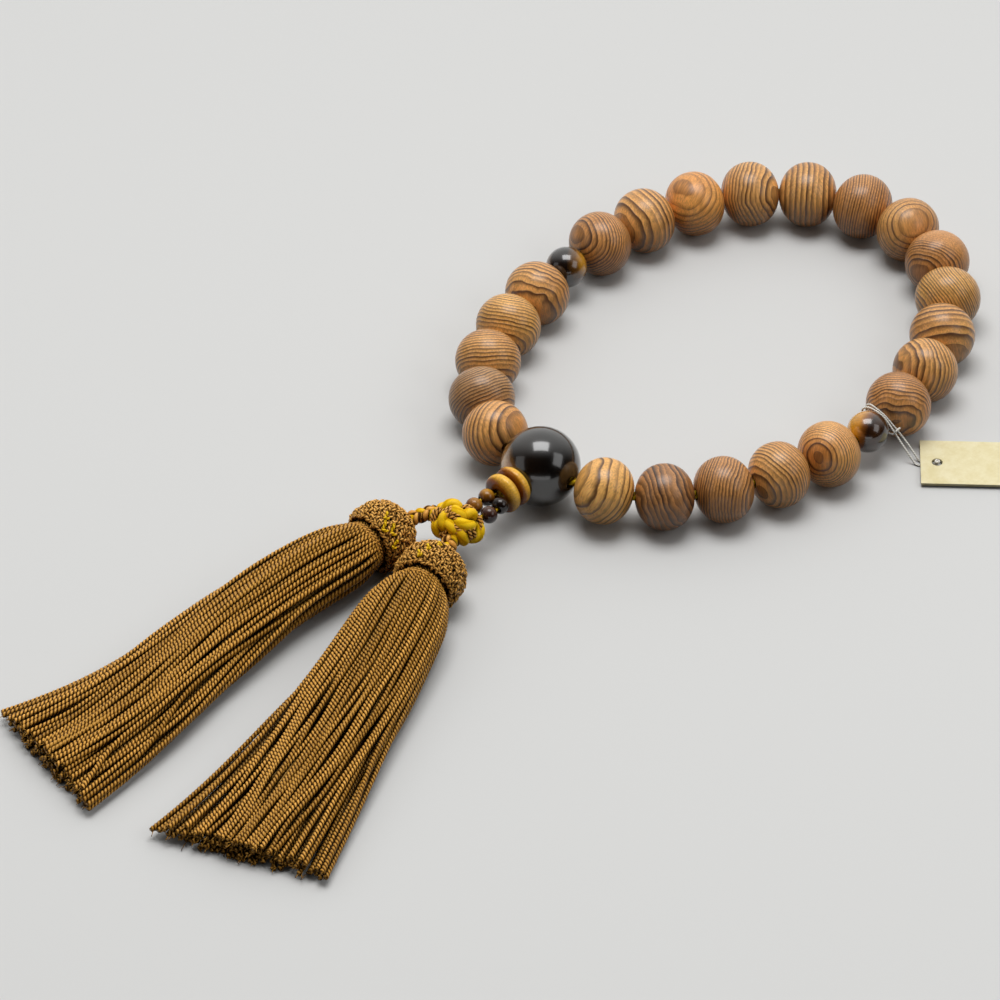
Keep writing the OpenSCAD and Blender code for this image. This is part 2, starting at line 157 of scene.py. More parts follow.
# ---------------------------------------------------------------- meshes
class Shell:
    """Collects rings of points into one mesh, in mm, with a strip of UV for each run of rings."""

    MARKS = ("groove", "tone")
    INSET_ACROSS, INSET_ALONG = 0.06, 0.004  # share of a UV strip left free at each side and end

    def __init__(self) -> None:
        """Start with nothing."""
        self.points, self.marks, self.quads, self.uvs = [], [], [], []
        self.count = 0

    def add_rings(
        self,
        rings: np.ndarray,
        groove: np.ndarray | float = 0.0,
        tone: float = 0.0,
        closed: bool = False,
        capped: bool = True,
    ) -> None:
        """Add a tube.

        Args:
            rings: Points, rings by sides by 3.
            groove: How deep each side lies between two plies, 0 to 1.
            tone: Shade of the tube, 0 to 1.
            closed: Joins the last ring to the first.
            capped: Closes both ends with a point.
        """
        count, sides = rings.shape[:2]
        marks = np.empty((count, sides, len(self.MARKS)))
        marks[..., 0], marks[..., 1] = groove, tone
        points, kept = rings.reshape(-1, 3), marks.reshape(-1, len(self.MARKS))
        i, k = np.meshgrid(np.arange(count if closed else count - 1), np.arange(sides), indexing="ij")
        corners = ((0, 0), (0, 1), (1, 1), (1, 0))
        quads = np.stack([(i + di) % count * sides + (k + dk) % sides for di, dk in corners], -1)
        quads = quads.reshape(-1, 4) + self.count
        uv = np.stack([np.stack([(k + dk) / sides, (i + di) / len(i)], -1) for di, dk in corners], -2)
        uv = uv.reshape(-1, 4, 2)
        if capped and not closed:
            side = self.count + np.arange(sides)
            ahead = self.count + (np.arange(sides) + 1) % sides
            end = (count - 1) * sides
            for tip, one, two in ((0, ahead, side), (1, end + side, end + ahead)):
                apex = np.full(sides, self.count + len(points) + tip)
                quads = np.vstack([quads, np.stack([apex, one, two, apex], -1)])
                uv = np.vstack([uv, np.broadcast_to([0.5, tip], (sides, 4, 2))])
            points = np.vstack([points, rings[0].mean(0), rings[-1].mean(0)])
            kept = np.vstack([kept, marks[0].mean(0), marks[-1].mean(0)])
        self.quads.append(quads)
        self.uvs.append(uv + [len(self.points), 0])
        self.points.append(points)
        self.marks.append(kept)
        self.count += len(points)

    def packed_uvs(self) -> np.ndarray:
        """Return every corner's UV, with the strips laid side by side in rows."""
        uvs, strips = np.vstack(self.uvs), len(self.points)
        rows = math.ceil(math.sqrt(strips / 8))
        per_row = math.ceil(strips / rows)
        strip = np.floor(uvs[:, :1, 0] + 1e-6)
        across = self.INSET_ACROSS + (1 - 2 * self.INSET_ACROSS) * (uvs[..., 0] - strip)
        along = self.INSET_ALONG + (1 - 2 * self.INSET_ALONG) * uvs[..., 1]
        return np.stack([(strip % per_row + across) / per_row, (strip // per_row + along) / rows], -1)

    def build(self, name: str, finish: bpy.types.Material) -> bpy.types.Object:
        """Make the mesh object.

        Args:
            name: The piece's name.
            finish: Its material.

        Returns:
            The new object, in metres.
        """
        points, marks, quads = (np.vstack(part) for part in (self.points, self.marks, self.quads))
        # A cap's faces are triangles, kept as quads whose last corner repeats the first
        triangle = quads[:, 0] == quads[:, 3]
        keep = np.ones(quads.shape, bool)
        keep[triangle, 3] = False
        loops = quads[keep].astype(np.int32)
        starts = np.concatenate([[0], np.cumsum(np.where(triangle, 3, 4))[:-1]]).astype(np.int32)
        mesh = bpy.data.meshes.new(name)
        mesh.vertices.add(len(points))
        mesh.vertices.foreach_set("co", (points * MM).ravel())
        mesh.loops.add(len(loops))
        mesh.loops.foreach_set("vertex_index", loops)
        mesh.polygons.add(len(quads))
        mesh.polygons.foreach_set("loop_start", starts)
        mesh.polygons.foreach_set("use_smooth", np.ones(len(quads), bool))
        mesh.uv_layers.new(name="OFBake").data.foreach_set("uv", self.packed_uvs()[keep].ravel())
        for index, label in enumerate(self.MARKS):
            mesh.attributes.new(label, "FLOAT", "POINT").data.foreach_set("value", marks[:, index].copy())
        mesh.update()
        mesh.validate()
        piece = bpy.data.objects.new(name, mesh)
        bpy.context.scene.collection.objects.link(piece)
        mesh.materials.append(finish)
        return piece


def frames_along(path: np.ndarray, closed: bool = False) -> tuple[np.ndarray, np.ndarray]:
    """Carry a pair of cross directions along a line without turning them about it.

    Args:
        path: Points of the line, N by 3.
        closed: The line joins its own start.

    Returns:
        The two cross directions at each point.
    """
    tangents = np.roll(path, -1, 0) - np.roll(path, 1, 0) if closed else np.gradient(path, axis=0)
    tangents /= np.linalg.norm(tangents, axis=1, keepdims=True)
    guess = UP if abs(tangents[0, 2]) < 0.9 else np.array([1.0, 0.0, 0.0])
    first = np.empty_like(path)
    first[0] = unit(guess - tangents[0] * (guess @ tangents[0]))
    for i in range(1, len(path)):
        v = first[i - 1] - tangents[i] * (first[i - 1] @ tangents[i])
        first[i] = v / np.linalg.norm(v)
    second = np.cross(tangents, first)
    if closed:
        # What is left over at the join is shared out along the line
        slip = math.atan2(first[0] @ second[-1], first[0] @ first[-1])
        turn = slip * np.arange(len(path)) / len(path)
        c, s = np.cos(turn)[:, None], np.sin(turn)[:, None]
        first, second = first * c + second * s, second * c - first * s
    return first, second


class Lay(Enum):
    """Which way a cord's plies turn."""

    S = -1
    Z = 1


@dataclass(frozen=True)
class Cord:
    """A twisted cord: its plies are lobes of one outline that turns along it. Sizes in mm."""

    diameter: float
    pitch: float
    plies: int = 2
    depth: float = 0.3
    sides: int = 8
    rings_a_turn: float = 8.0
    lay: Lay = Lay.S

    def add(
        self,
        shell: Shell,
        path: np.ndarray,
        tone: float = 0.5,
        closed: bool = False,
        start: float = 0.0,
        taper: tuple[float, ...] = (1.0, 1.0),
        step: float | None = None,
    ) -> None:
        """Add this cord to a shell.

        Args:
            shell: What it is added to.
            path: The line that it follows, in mm.
            tone: Shade of this run, 0 to 1.
            closed: The line joins its own start.
            start: Turn of the outline at the start, in radians.
            taper: Factor on the radius, at evenly spaced places along the line.
            step: Distance between rings, in place of the one that the pitch gives.
        """
        line = spaced(np.vstack([path, path[:1]]) if closed else path, step or self.pitch / self.rings_a_turn)
        if closed:
            line = line[:-1]
        first, second = frames_along(line, closed)
        along = distances(line)
        total = along[-1] + (np.linalg.norm(line[0] - line[-1]) if closed else 0)
        turns = total / self.pitch
        if closed:
            turns = round(turns * self.plies) / self.plies
        turn = start + self.lay.value * 2 * math.pi * turns * along / total
        angle = full_turn(self.sides)
        lobe = 0.5 + 0.5 * np.cos(self.plies * angle)
        size = np.interp(np.linspace(0, 1, len(line)), np.linspace(0, 1, len(taper)), taper)
        reach = size[:, None] * self.diameter / 2 * (1 - self.depth * (1 - lobe))
        rings = round_about(line[:, None], reach, angle + turn[:, None], first[:, None], second[:, None])
        shell.add_rings(rings, 1 - lobe, tone, closed)


def lathe(
    shell: Shell,
    middle: np.ndarray,
    axis: np.ndarray,
    profile: np.ndarray,
    sides: int,
    wobble: float = 0.0,
    seed: int = 0,
) -> None:
    """Turn a closed outline about an axis.

    Args:
        shell: What it is added to.
        middle: Middle of the turned piece, in mm.
        axis: Its axis.
        profile: Radius and place along the axis, in order round the outline.
        sides: Faces round it.
        wobble: How far, in mm, the outside departs from round.
        seed: Picks the wobble's shape.
    """
    axis = unit(axis)
    across = unit(np.cross(UP, axis))
    radius, place = profile[:, :1], profile[:, 1:2]
    angle = full_turn(sides)
    rng = np.random.default_rng(seed)
    shape = sum(rng.normal() * np.cos(n * angle + rng.uniform(0, 6.3) + rng.normal() * place / 6) for n in (1, 2, 3))
    reach = radius + wobble * shape * eased(radius, 1.2, 4.0)
    rings = round_about(middle + place[..., None] * axis, reach, angle, across, np.cross(axis, across))
    shell.add_rings(rings, closed=True)


def bead_outline(diameter: float, length: float, power: float, bore: float, steps: int) -> np.ndarray:
    """Draw the outline of a bored bead.

    Args:
        diameter: Across the bead, in mm.
        length: Along the bore, in mm.
        power: Of the superellipse: 2 is an ellipse.
        bore: Diameter of the bore.
        steps: Points on the outside.

    Returns:
        Radius and place along the bore, in order round the closed outline.
    """
    bevel = 0.16
    hole = bore / 2
    t = np.linspace(0, math.pi, 20 * steps)
    r = diameter / 2 * np.sin(t) ** (2 / power)
    z = length / 2 * np.sign(np.cos(t)) * np.abs(np.cos(t)) ** (2 / power)
    even = spaced(np.column_stack([r, z, np.zeros(len(r))])[r > hole + bevel], 0.01)
    outside = even[np.linspace(0, len(even) - 1, steps).astype(int), :2]
    top = outside[0, 1]
    mouth = np.array([(hole + 0.07, top - 0.03), (hole, top - bevel)])
    inside = [(hole, top * k) for k in (-0.6, 0.0, 0.6)]
    return np.vstack([outside, mouth * [1, -1], inside, mouth[::-1]])


# ---------------------------------------------------------------- finishes
Value = float | tuple | str | bpy.types.NodeSocket


def add_node(tree: bpy.types.NodeTree, kind: str, settings: dict[int | str, Value]) -> bpy.types.Node:
    """Add a node.

    Args:
        tree: The node tree.
        kind: The name of the node's type, after ShaderNode.
        settings: Attribute names and their values, and input names or numbers and the value or output that each takes.

    Returns:
        The new node.
    """
    node = tree.nodes.new(f"ShaderNode{kind}")
    for key, value in settings.items():
        if isinstance(value, bpy.types.NodeSocket):
            tree.links.new(value, node.inputs[key])
        elif isinstance(key, int) or key in node.inputs:
            node.inputs[key].default_value = value
        else:
            setattr(node, key, value)
    return node


class Graph:
    """The nodes of one new material, with short calls for those that the finishes share."""

    def __init__(self, name: str) -> None:
        """Make the material with an empty tree."""
        self.material = bpy.data.materials.new(name)
        self.material.use_nodes = True
        self.tree = self.material.node_tree
        self.tree.nodes.clear()

    def node(self, kind: str, settings: dict[int | str, Value], output: int | str = 0) -> bpy.types.NodeSocket:
        """Add a node and return one of its outputs."""
        return add_node(self.tree, kind, settings).outputs[output]

    def maths(self, operation: str, *values: Value, clamp: bool = False) -> bpy.types.NodeSocket:
        """Work on numbers."""
        return self.node("Math", {"operation": operation, "use_clamp": clamp, **dict(enumerate(values))})

    def vector(self, operation: str, *values: Value, output: int | str = 0) -> bpy.types.NodeSocket:
        """Work on vectors."""
        return self.node("VectorMath", {"operation": operation, **dict(enumerate(values))}, output)

    def scaled(self, vector: Value, factor: Value) -> bpy.types.NodeSocket:
        """Multiply a vector or colour by a number."""
        return self.node("VectorMath", {"operation": "SCALE", 0: vector, "Scale": factor})

    def ranged(
        self, value: Value, low: float, high: float, start: float, end: float, smooth: bool = False
    ) -> bpy.types.NodeSocket:
        """Return start where a value is low or less, end where it is high or more, and what lies between."""
        kind = "SMOOTHSTEP" if smooth else "LINEAR"
        return self.node("MapRange", {"interpolation_type": kind, 0: value, 1: low, 2: high, 3: start, 4: end})

    def mixed(self, share: Value, first: Value, second: Value) -> bpy.types.NodeSocket:
        """Mix two colours, given as hex or as outputs."""
        ends = (linear(colour) if isinstance(colour, str) else colour for colour in (first, second))
        return self.node("Mix", {"data_type": "RGBA", 0: share, **dict(enumerate(ends, start=6))}, 2)

    def noise(
        self, place: Value, scale: float, detail: float = 2.0, roughness: float = 0.5, output: str = "Fac"
    ) -> bpy.types.NodeSocket:
        """Add noise with this many features to a mm."""
        return self.node(
            "TexNoise", {"Vector": place, "Scale": scale, "Detail": detail, "Roughness": roughness}, output
        )

    def fibres(
        self, place: Value, way: np.ndarray, scale: float, detail: float, roughness: float
    ) -> bpy.types.NodeSocket:
        """Add noise drawn out eight times along a direction."""
        turn = tuple(Vector(UP).rotation_difference(Vector(way)).to_euler())
        stretch = {"vector_type": "TEXTURE", "Vector": place, "Rotation": turn, "Scale": (1.0, 1.0, 8.0)}
        return self.noise(self.node("Mapping", stretch), scale, detail, roughness)

    def place_mm(self) -> bpy.types.NodeSocket:
        """Return the place on the object, in mm."""
        return self.scaled(self.node("TexCoord", {}, "Object"), 1 / MM)

    def ramp(self, value: Value, stops: list[tuple[float, str]]) -> bpy.types.NodeSocket:
        """Turn a value to a colour, by places from 0 to 1 and their hex colours."""
        node = add_node(self.tree, "ValToRGB", {0: value})
        bar = node.color_ramp.elements
        while len(bar) < len(stops):
            bar.new(0.5)
        for element, (place, colour) in zip(bar, sorted(stops)):
            element.position = place
            element.color = linear(colour)
        return node.outputs[0]

    def finished(
        self, settings: dict[str, Value], height: Value | None = None, strength: float = 1.0, depth: float = 0.0
    ) -> bpy.types.Material:
        """Add the shader and return the material.

        Args:
            settings: The shader's inputs and what each takes.
            height: Relief of the face.
            strength: How strongly the relief shows.
            depth: How deep it is, in mm.
        """
        if height is not None:
            settings["Normal"] = self.node("Bump", {"Strength": strength, "Distance": depth * MM, "Height": height})
        add_node(self.tree, "OutputMaterial", {"Surface": self.node("BsdfPrincipled", settings)})
        return self.material


# The front view's height and turn in degrees. Directions on a bead are given as seen from there
FRONT_ELEVATION, FRONT_TURN = 40.268, 40.49


def front_axes() -> np.ndarray:
    """Return the front view's right, up and outward directions, as rows."""
    e = math.radians(FRONT_ELEVATION)
    out = -math.cos(e) * heading(FRONT_TURN) + math.sin(e) * UP
    right = unit(np.cross(UP, out))
    return np.stack([right, np.cross(out, right), out])


def seen(across: float, up: float, behind: bool = False) -> np.ndarray:
    """Return the unit direction whose point on a bead shows at (across, up), in bead radii from its middle."""
    length = max(1.0, math.hypot(across, up))
    across, up = across / length, up / length
    out = math.sqrt(max(0.0, 1 - across**2 - up**2)) * (-1 if behind else 1)
    return unit(np.array([across, up, out]) @ front_axes())


class WoodTone(Enum):
    """Early wood, late wood and heart colours of one billet."""

    TAN = ("F1B164", "482408", "B66D28")
    STRAW = ("F8BB67", "502C0A", "BF7E33")
    ORANGE = ("F8AF5A", "5B2E0A", "C26D21")
    BROWN = ("DA9854", "3C1F06", "9C6026")
    RED = ("C6894D", "301707", "804821")
    GREY = ("C6935C", "2E1A08", "84532C")


@dataclass(frozen=True)
class TurnedCypress:
    """Cypress turned to a bead and waxed: pale early wood, thin dark late wood, and a satin, slightly ridged face.

    The rings are real cylinders about the trunk's middle, so that each bead shows lines, arches or a target
    by how it was cut. Lengths are in mm.
    """

    pole: tuple[float, float]  # where the rings lie flat to the surface, as seen() takes it
    pitch: float  # a ring's width
    tone: WoodTone
    pith: float = 22.0  # distance to the trunk's middle
    run: float = 90.0  # turn of the trunk about the pole, in degrees
    offset: float = 0.8  # where in a ring the pole lies
    warp: float = 0.35  # how far the rings wander
    line: float = 0.26  # late wood's share of a ring
    shade: float = 1.0
    heart: float = 0.12  # share of the heart's colour at the pole
    contrast: float = 1.0
    plain_from: float | None = None  # depth below which the rings fade

    def make(self, name: str, middle: np.ndarray, seed: int) -> bpy.types.Material:
        """Make the finish for one bead.

        Args:
            name: The material's name.
            middle: The bead's middle, in mm.
            seed: Picks the noise.

        Returns:
            The material.
        """
        graph = Graph(name)
        pole = seen(*self.pole)
        side = unit(np.cross(pole, [0.13, 0.21, 0.97] if abs(pole[2]) < 0.9 else [1.0, 0, 0]))
        run = math.radians(self.run)
        trunk = side * math.cos(run) + np.cross(pole, side) * math.sin(run)
        early, late, heart = self.tone.value
        mm = graph.place_mm()
        local = graph.vector("SUBTRACT", mm, tuple(middle - 40.0 * (seed % 7)))
        # Growth wanders by a fraction of a ring over a few mm
        drift = graph.vector("SUBTRACT", graph.noise(local, 0.16, 2.0, 0.45, "Color"), (0.5, 0.5, 0.5))
        moved = graph.vector("ADD", mm, graph.scaled(drift, 2.2 * self.warp * (0.5 + self.pitch)))
        arm = graph.vector("SUBTRACT", moved, tuple(middle - pole * self.pith))
        reach = graph.vector("LENGTH", graph.vector("CROSS_PRODUCT", arm, tuple(trunk)), output="Value")
        depth = graph.maths("SUBTRACT", self.pith + BEAD_RADIUS, reach)
        ring = graph.maths("MULTIPLY_ADD", depth, 1 / self.pitch, self.offset)
        tooth = graph.maths("FRACT", ring)
        # Late wood darkens slowly, then stops at a sharp edge, and some years are fainter
        band = graph.ranged(tooth, 1 - 2.6 * self.line, 0.94, 0.0, 1.0, smooth=True)
        edge = graph.ranged(tooth, 0.0, 0.1, 0.85, 0.0, smooth=True)
        year = graph.node("TexWhiteNoise", {"noise_dimensions": "1D", "W": graph.maths("FLOOR", ring)}, "Value")
        dark = graph.maths("MULTIPLY", graph.maths("MAXIMUM", band, edge), graph.ranged(year, 0.0, 1.0, 0.45, 1.0))
        if self.plain_from is not None:
            fade = graph.ranged(depth, self.plain_from, self.plain_from + 1.2, 1.0, 0.12, smooth=True)
            dark = graph.maths("MULTIPLY", dark, fade)
        # Fibres are about 0.12 mm wide and several mm long
        fibre = graph.fibres(local, trunk, 3.2, 3.0, 0.66)
        patch = graph.ranged(graph.noise(local, 0.11), 0.42, 0.68, 0.0, 0.4)
        warm = graph.maths("ADD", graph.ranged(depth, 0.0, 1.8, self.heart, 0.0), patch, clamp=True)
        ground = graph.mixed(warm, early, heart)
        lined = graph.mixed(graph.maths("MULTIPLY", dark, self.contrast), ground, late)
        grain = graph.ranged(fibre, 0.3, 0.7, 0.62 * self.shade, 1.32 * self.shade)
        shader = {
            "Base Color": graph.scaled(lined, grain),
            "Roughness": graph.ranged(dark, 0.0, 1.0, 0.46, 0.42),
            "IOR": 1.5,
            "Coat Weight": 0.45,
            "Coat Roughness": 0.28,
        }
        return graph.finished(shader, graph.maths("MULTIPLY_ADD", fibre, -0.35, dark), strength=0.9, depth=0.06)


@dataclass(frozen=True)
class TigerEye:
    """Tiger-eye cut and polished: bands of silky gold and brown-black under a glassy face with sharp reflections."""

    pole: tuple[float, float]  # which way the bands follow one another, as seen() takes it
    bands: tuple[tuple[float, str], ...]  # places from -1 to 1 along the pole, and colours
    radius: float  # from the middle to the last band, in mm
    warp: float = 0.9
    gloss: float = 1.0
    haze: float = 0.09
    shine: float = 0.5

    def make(self, name: str, middle: np.ndarray) -> bpy.types.Material:
        """Make the finish for one stone.

        Args:
            name: The material's name.
            middle: The stone's middle, in mm.

        Returns:
            The material.
        """
        graph = Graph(name)
        pole = seen(*self.pole)
        local = graph.vector("SUBTRACT", graph.place_mm(), tuple(middle))
        wander = graph.noise(local, 0.32, output="Color")
        pushed = graph.vector("MULTIPLY_ADD", wander, (self.warp,) * 3, local)
        level = graph.vector("DOT_PRODUCT", pushed, tuple(pole), output="Value")
        slack = self.warp * 0.5 * float(sum(pole))
        at = graph.ranged(level, slack - self.radius, slack + self.radius, 0.0, 1.0)
        colour = graph.ramp(at, [(0.5 + 0.5 * place, colour) for place, colour in self.bands])
        # Silky fibres about 0.15 mm apart cross the bands
        glow = graph.ranged(graph.fibres(local, pole, 3.4, 2.0, 0.6), 0.35, 0.65, 0.84, 1.14)
        return graph.finished({
            "Base Color": graph.scaled(colour, glow),
            "Roughness": 0.22,
            "IOR": 1.54,
            "Specular IOR Level": self.shine,
            "Coat Weight": self.gloss,
            "Coat Roughness": self.haze,
            "Coat IOR": 1.5,
        })


@dataclass(frozen=True)
class TwistedRayon:
    """Rayon cord of two twisted plies: a bright sheen on each rounded ply, and painted shade in the deep groove between
    them.
    """

    ridge: str
    shade: str
    # The groove colour is painted shade at the bottom of each groove between plies.
    groove: str
    sheen: float
    roughness: float
    edge: float  # where a ply starts to fall into the groove and the painted groove shade begins
    crevice_shade: float  # how closed in a place is when the painted shade from ambient occlusion is darkest

    def make(self, name: str) -> bpy.types.Material:
        """Return the material, which reads the groove and tone marks of its mesh."""
        graph = Graph(name)
        groove, tone = (graph.node("Attribute", {"attribute_name": mark}, "Fac") for mark in ("groove", "tone"))
        mm = graph.place_mm()
        fine = graph.noise(mm, 9.0, 2.0, 0.6)
        patch = graph.maths("MULTIPLY_ADD", graph.noise(mm, 0.35), 0.6, -0.3)
        ground = graph.mixed(graph.maths("ADD", tone, patch, clamp=True), self.shade, self.ridge)
        # Painted shade: the colour turns to the dark groove colour towards the bottom of each groove
        deep = graph.ranged(groove, self.edge, self.edge + 0.5, 0.0, 1.0, smooth=True)
        # Painted shade: ambient occlusion darkens the colour between cords that lie side by side, where light hardly
        # reaches, and lifts it a little in open places
        open_air = graph.node("AmbientOcclusion", {"samples": 4, "Distance": 1.6 * MM}, "AO")
        crevice_painted_shade = graph.ranged(open_air, self.crevice_shade, 0.85, 0.07, 1.2)
        fibre_and_painted_shade = graph.maths("MULTIPLY", graph.ranged(fine, 0.3, 0.7, 0.82, 1.18), crevice_painted_shade)
        shader = {
            "Base Color": graph.scaled(graph.mixed(deep, ground, self.groove), fibre_and_painted_shade),
            "Roughness": self.roughness,
            "IOR": 1.47,
            "Specular Tint": linear("FFD890"),
            "Specular IOR Level": graph.ranged(groove, 0.0, 0.8, 0.75, 0.05),
            "Sheen Weight": self.sheen,
            "Sheen Roughness": 0.4,
            "Sheen Tint": linear(self.ridge),
        }
        return graph.finished(shader, fine, strength=0.5, depth=0.03)


@dataclass(frozen=True)
class IvoryBoard:
    """Uncoated ivory card, die cut: a matt, faintly mottled face with short paper fibres."""

    face: str = "F0E6BE"
    mottle: str = "E6D9A8"

    def make(self, name: str) -> bpy.types.Material:
        """Return the material."""
        graph = Graph(name)
        mm = graph.place_mm()
        cloud = graph.ramp(graph.noise(mm, 0.5, 4.0, 0.65), [(0.35, self.mottle), (0.65, self.face)])
        shader = {"Base Color": cloud, "Roughness": 0.7, "IOR": 1.45}
        return graph.finished(shader, graph.noise(mm, 6.0), strength=0.25, depth=0.03)


@dataclass(frozen=True)
class PaperFloor:
    """Matt seamless paper: the camera and reflections see it pale, and it throws little light back on the object."""

    face: str = "D8D8D7"
    bounce: str = "2A2A2A"

    def make(self, name: str) -> bpy.types.Material:
        """Return the material."""
        graph = Graph(name)
        rays = add_node(graph.tree, "LightPath", {}).outputs
        looked_at = graph.maths("MAXIMUM", rays["Is Camera Ray"], rays["Is Glossy Ray"])
        looked_at = graph.maths("MAXIMUM", looked_at, rays["Is Transmission Ray"])
        tone = graph.mixed(looked_at, self.bounce, self.face)
        return graph.finished({"Base Color": tone, "Roughness": 0.9, "Specular IOR Level": 0.1})


# Ridge, shade and groove colours: the groove colour is painted shade. The last number sets how dark the painted shade
# from ambient occlusion gets where cords lie close.
BROWN_RAYON = TwistedRayon("E2A64A", "986A1E", "462608", sheen=0.1, roughness=0.34, edge=0.3, crevice_shade=0.4)
CROCHET_RAYON = TwistedRayon("FFC466", "BE7E2E", "46280E", sheen=0.1, roughness=0.34, edge=0.35, crevice_shade=0.17)
YELLOW_RAYON = TwistedRayon("FAD21E", "E6B210", "8A5E08", sheen=0.1, roughness=0.42, edge=0.4, crevice_shade=0.15)
SMOOTH_YELLOW_RAYON = TwistedRayon("F6CC1C", "DDA80C", "C89408", sheen=0.1, roughness=0.45, edge=0.6, crevice_shade=0.1)
WHITE_COTTON = TwistedRayon("F4F2EC", "E8E5DC", "A8A49A", sheen=0.2, roughness=0.7, edge=0.5, crevice_shade=-0.4)


# ---------------------------------------------------------------- the beads
BEADS = (
    TurnedCypress((0.8, 0.12), 0.95, WoodTone.TAN, pith=16, warp=0.25, offset=0.9, heart=0.7, shade=1.1),
    TurnedCypress((0.5, -0.75), 0.55, WoodTone.GREY, pith=12, warp=0.6),
    TurnedCypress((0.05, -0.85), 0.62, WoodTone.TAN, pith=14, warp=0.4),
    TurnedCypress((-0.35, -0.8), 0.6, WoodTone.STRAW, pith=10, warp=0.6, shade=1.05),
    TurnedCypress((-0.4, -0.65), 0.95, WoodTone.TAN, pith=12, warp=1.0, offset=0.9),
    TurnedCypress((-0.78, 0.16), 0.5, WoodTone.BROWN, pith=13),
    TurnedCypress((-0.85, -0.36), 1.2, WoodTone.TAN, pith=18, line=0.32, offset=0.95, shade=1.1),
    TurnedCypress((-0.49, 0.44), 0.9, WoodTone.ORANGE, pith=16, line=0.22, offset=0.35, contrast=0.7, heart=0.15),
    TurnedCypress((0.99, 0.06), 0.8, WoodTone.TAN, pith=13, run=70, warp=0.8, line=0.3, offset=0.95),
    TurnedCypress((1.0, 0.0), 1.0, WoodTone.TAN, pith=40, warp=0.2, line=0.3),
    TurnedCypress((0.99, -0.15), 0.5, WoodTone.BROWN, pith=40, warp=0.25),
    TurnedCypress(
        (0.24, 0.15), 0.8, WoodTone.TAN, pith=30, warp=0.3, offset=0.95, line=0.16, heart=0.3, contrast=0.85, shade=0.86
    ),
    TurnedCypress((-0.45, -0.45), 0.42, WoodTone.BROWN, pith=9, warp=0.6, plain_from=3.0, shade=0.93),
    TurnedCypress((-0.88, -0.5), 0.5, WoodTone.STRAW, pith=16, warp=0.4, line=0.3, shade=0.93),
    TurnedCypress((0.12, -0.8), 1.2, WoodTone.TAN, pith=14, warp=0.4, line=0.3, shade=0.95),
    TurnedCypress((-0.9, 0.1), 0.8, WoodTone.TAN, pith=12, warp=0.8, line=0.3),
    TurnedCypress((-0.15, -0.6), 0.55, WoodTone.BROWN, pith=9, warp=0.9, offset=0.9),
    TurnedCypress((-0.48, -0.18), 0.44, WoodTone.TAN, pith=26, warp=0.35, offset=0.92, line=0.2, heart=0.9, shade=1.1),
    TurnedCypress((-0.75, -0.5), 0.66, WoodTone.TAN, pith=15, warp=0.5, offset=0.95),
    TurnedCypress((0.98, -0.12), 0.55, WoodTone.BROWN, pith=36, warp=0.6, line=0.3),
    TurnedCypress((0.91, 0.45), 1.0, WoodTone.RED, pith=18, warp=0.9, line=0.36, offset=0.95),
    TurnedCypress((-0.85, 0.45), 1.3, WoodTone.STRAW, pith=16, warp=0.5, line=0.18, offset=0.95, shade=1.1),
)


@dataclass(frozen=True)
class WoodenBeads:
    """The wooden beads: nearly round, flattened a little at the two mouths of the bore. Sizes in mm."""

    diameter: float = 2 * BEAD_RADIUS
    length: float = 10.7
    power: float = 2.1
    bore: float = 1.9
    wobble: float = 0.014
    sides: int = 84
    steps: int = 46

    def build(self) -> None:
        """Build, dress and seat every wooden bead."""
        outline = bead_outline(self.diameter, self.length, self.power, self.bore, self.steps)
        for number, grain in enumerate(BEADS, start=1):
            body = f"bead_{number:02d}"
            middle, shell = joint_at(body), Shell()
            lathe(shell, middle, joint_axis(body), outline, self.sides, self.wobble, seed=number)
            piece = shell.build(f"wood_{number:02d}", grain.make(f"turned_cypress_{number:02d}", middle, number))
            hand_over(piece, body, "wood", body)
        log.info("wooden beads: %d", len(BEADS))


def guru_middle() -> np.ndarray:
    """Return the middle of the large bead, in mm."""
    return np.mean(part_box("guru_bead"), axis=0) / MM


@dataclass(frozen=True)
class StoneCut:
    """How a stone bead is cut: the slot that it fills, its sizes in mm and how finely it is meshed."""

    slot: str
    diameter: float
    length: float
    power: float
    bore: float
    steps: int = 40
    sides: int = 64


GURU = StoneCut("dark_tiger_eye", 14.4, 14.4, power=2.0, bore=1.9, steps=64, sides=112)
SPACER = StoneCut("banded_tiger_eye", 7.6, 7.6, power=2.0, bore=1.9)
DISC = StoneCut("banded_tiger_eye", 7.5, 2.5, power=3.0, bore=2.7)
SEED = StoneCut("dark_tiger_eye", 3.15, 3.0, power=2.0, bore=1.0)

GURU_BANDS = (
    (-1, "3A3024"), (-0.8, "241C12"), (-0.5, "120C08"), (0, "0B0705"),
    (0.76, "1C120A"), (0.88, "8A6234"), (1, "D8B080"),
)
LEFT_BANDS = ((-1, "C98A1E"), (-0.72, "6B4310"), (-0.4, "1B100A"), (0.35, "170E09"), (0.7, "6E4714"), (0.95, "D0942A"))
RIGHT_BANDS = ((-1, "E2A818"), (-0.25, "CC8A14"), (0.05, "7A4612"), (0.35, "27150C"), (0.65, "40250F"), (1, "1E120B"))
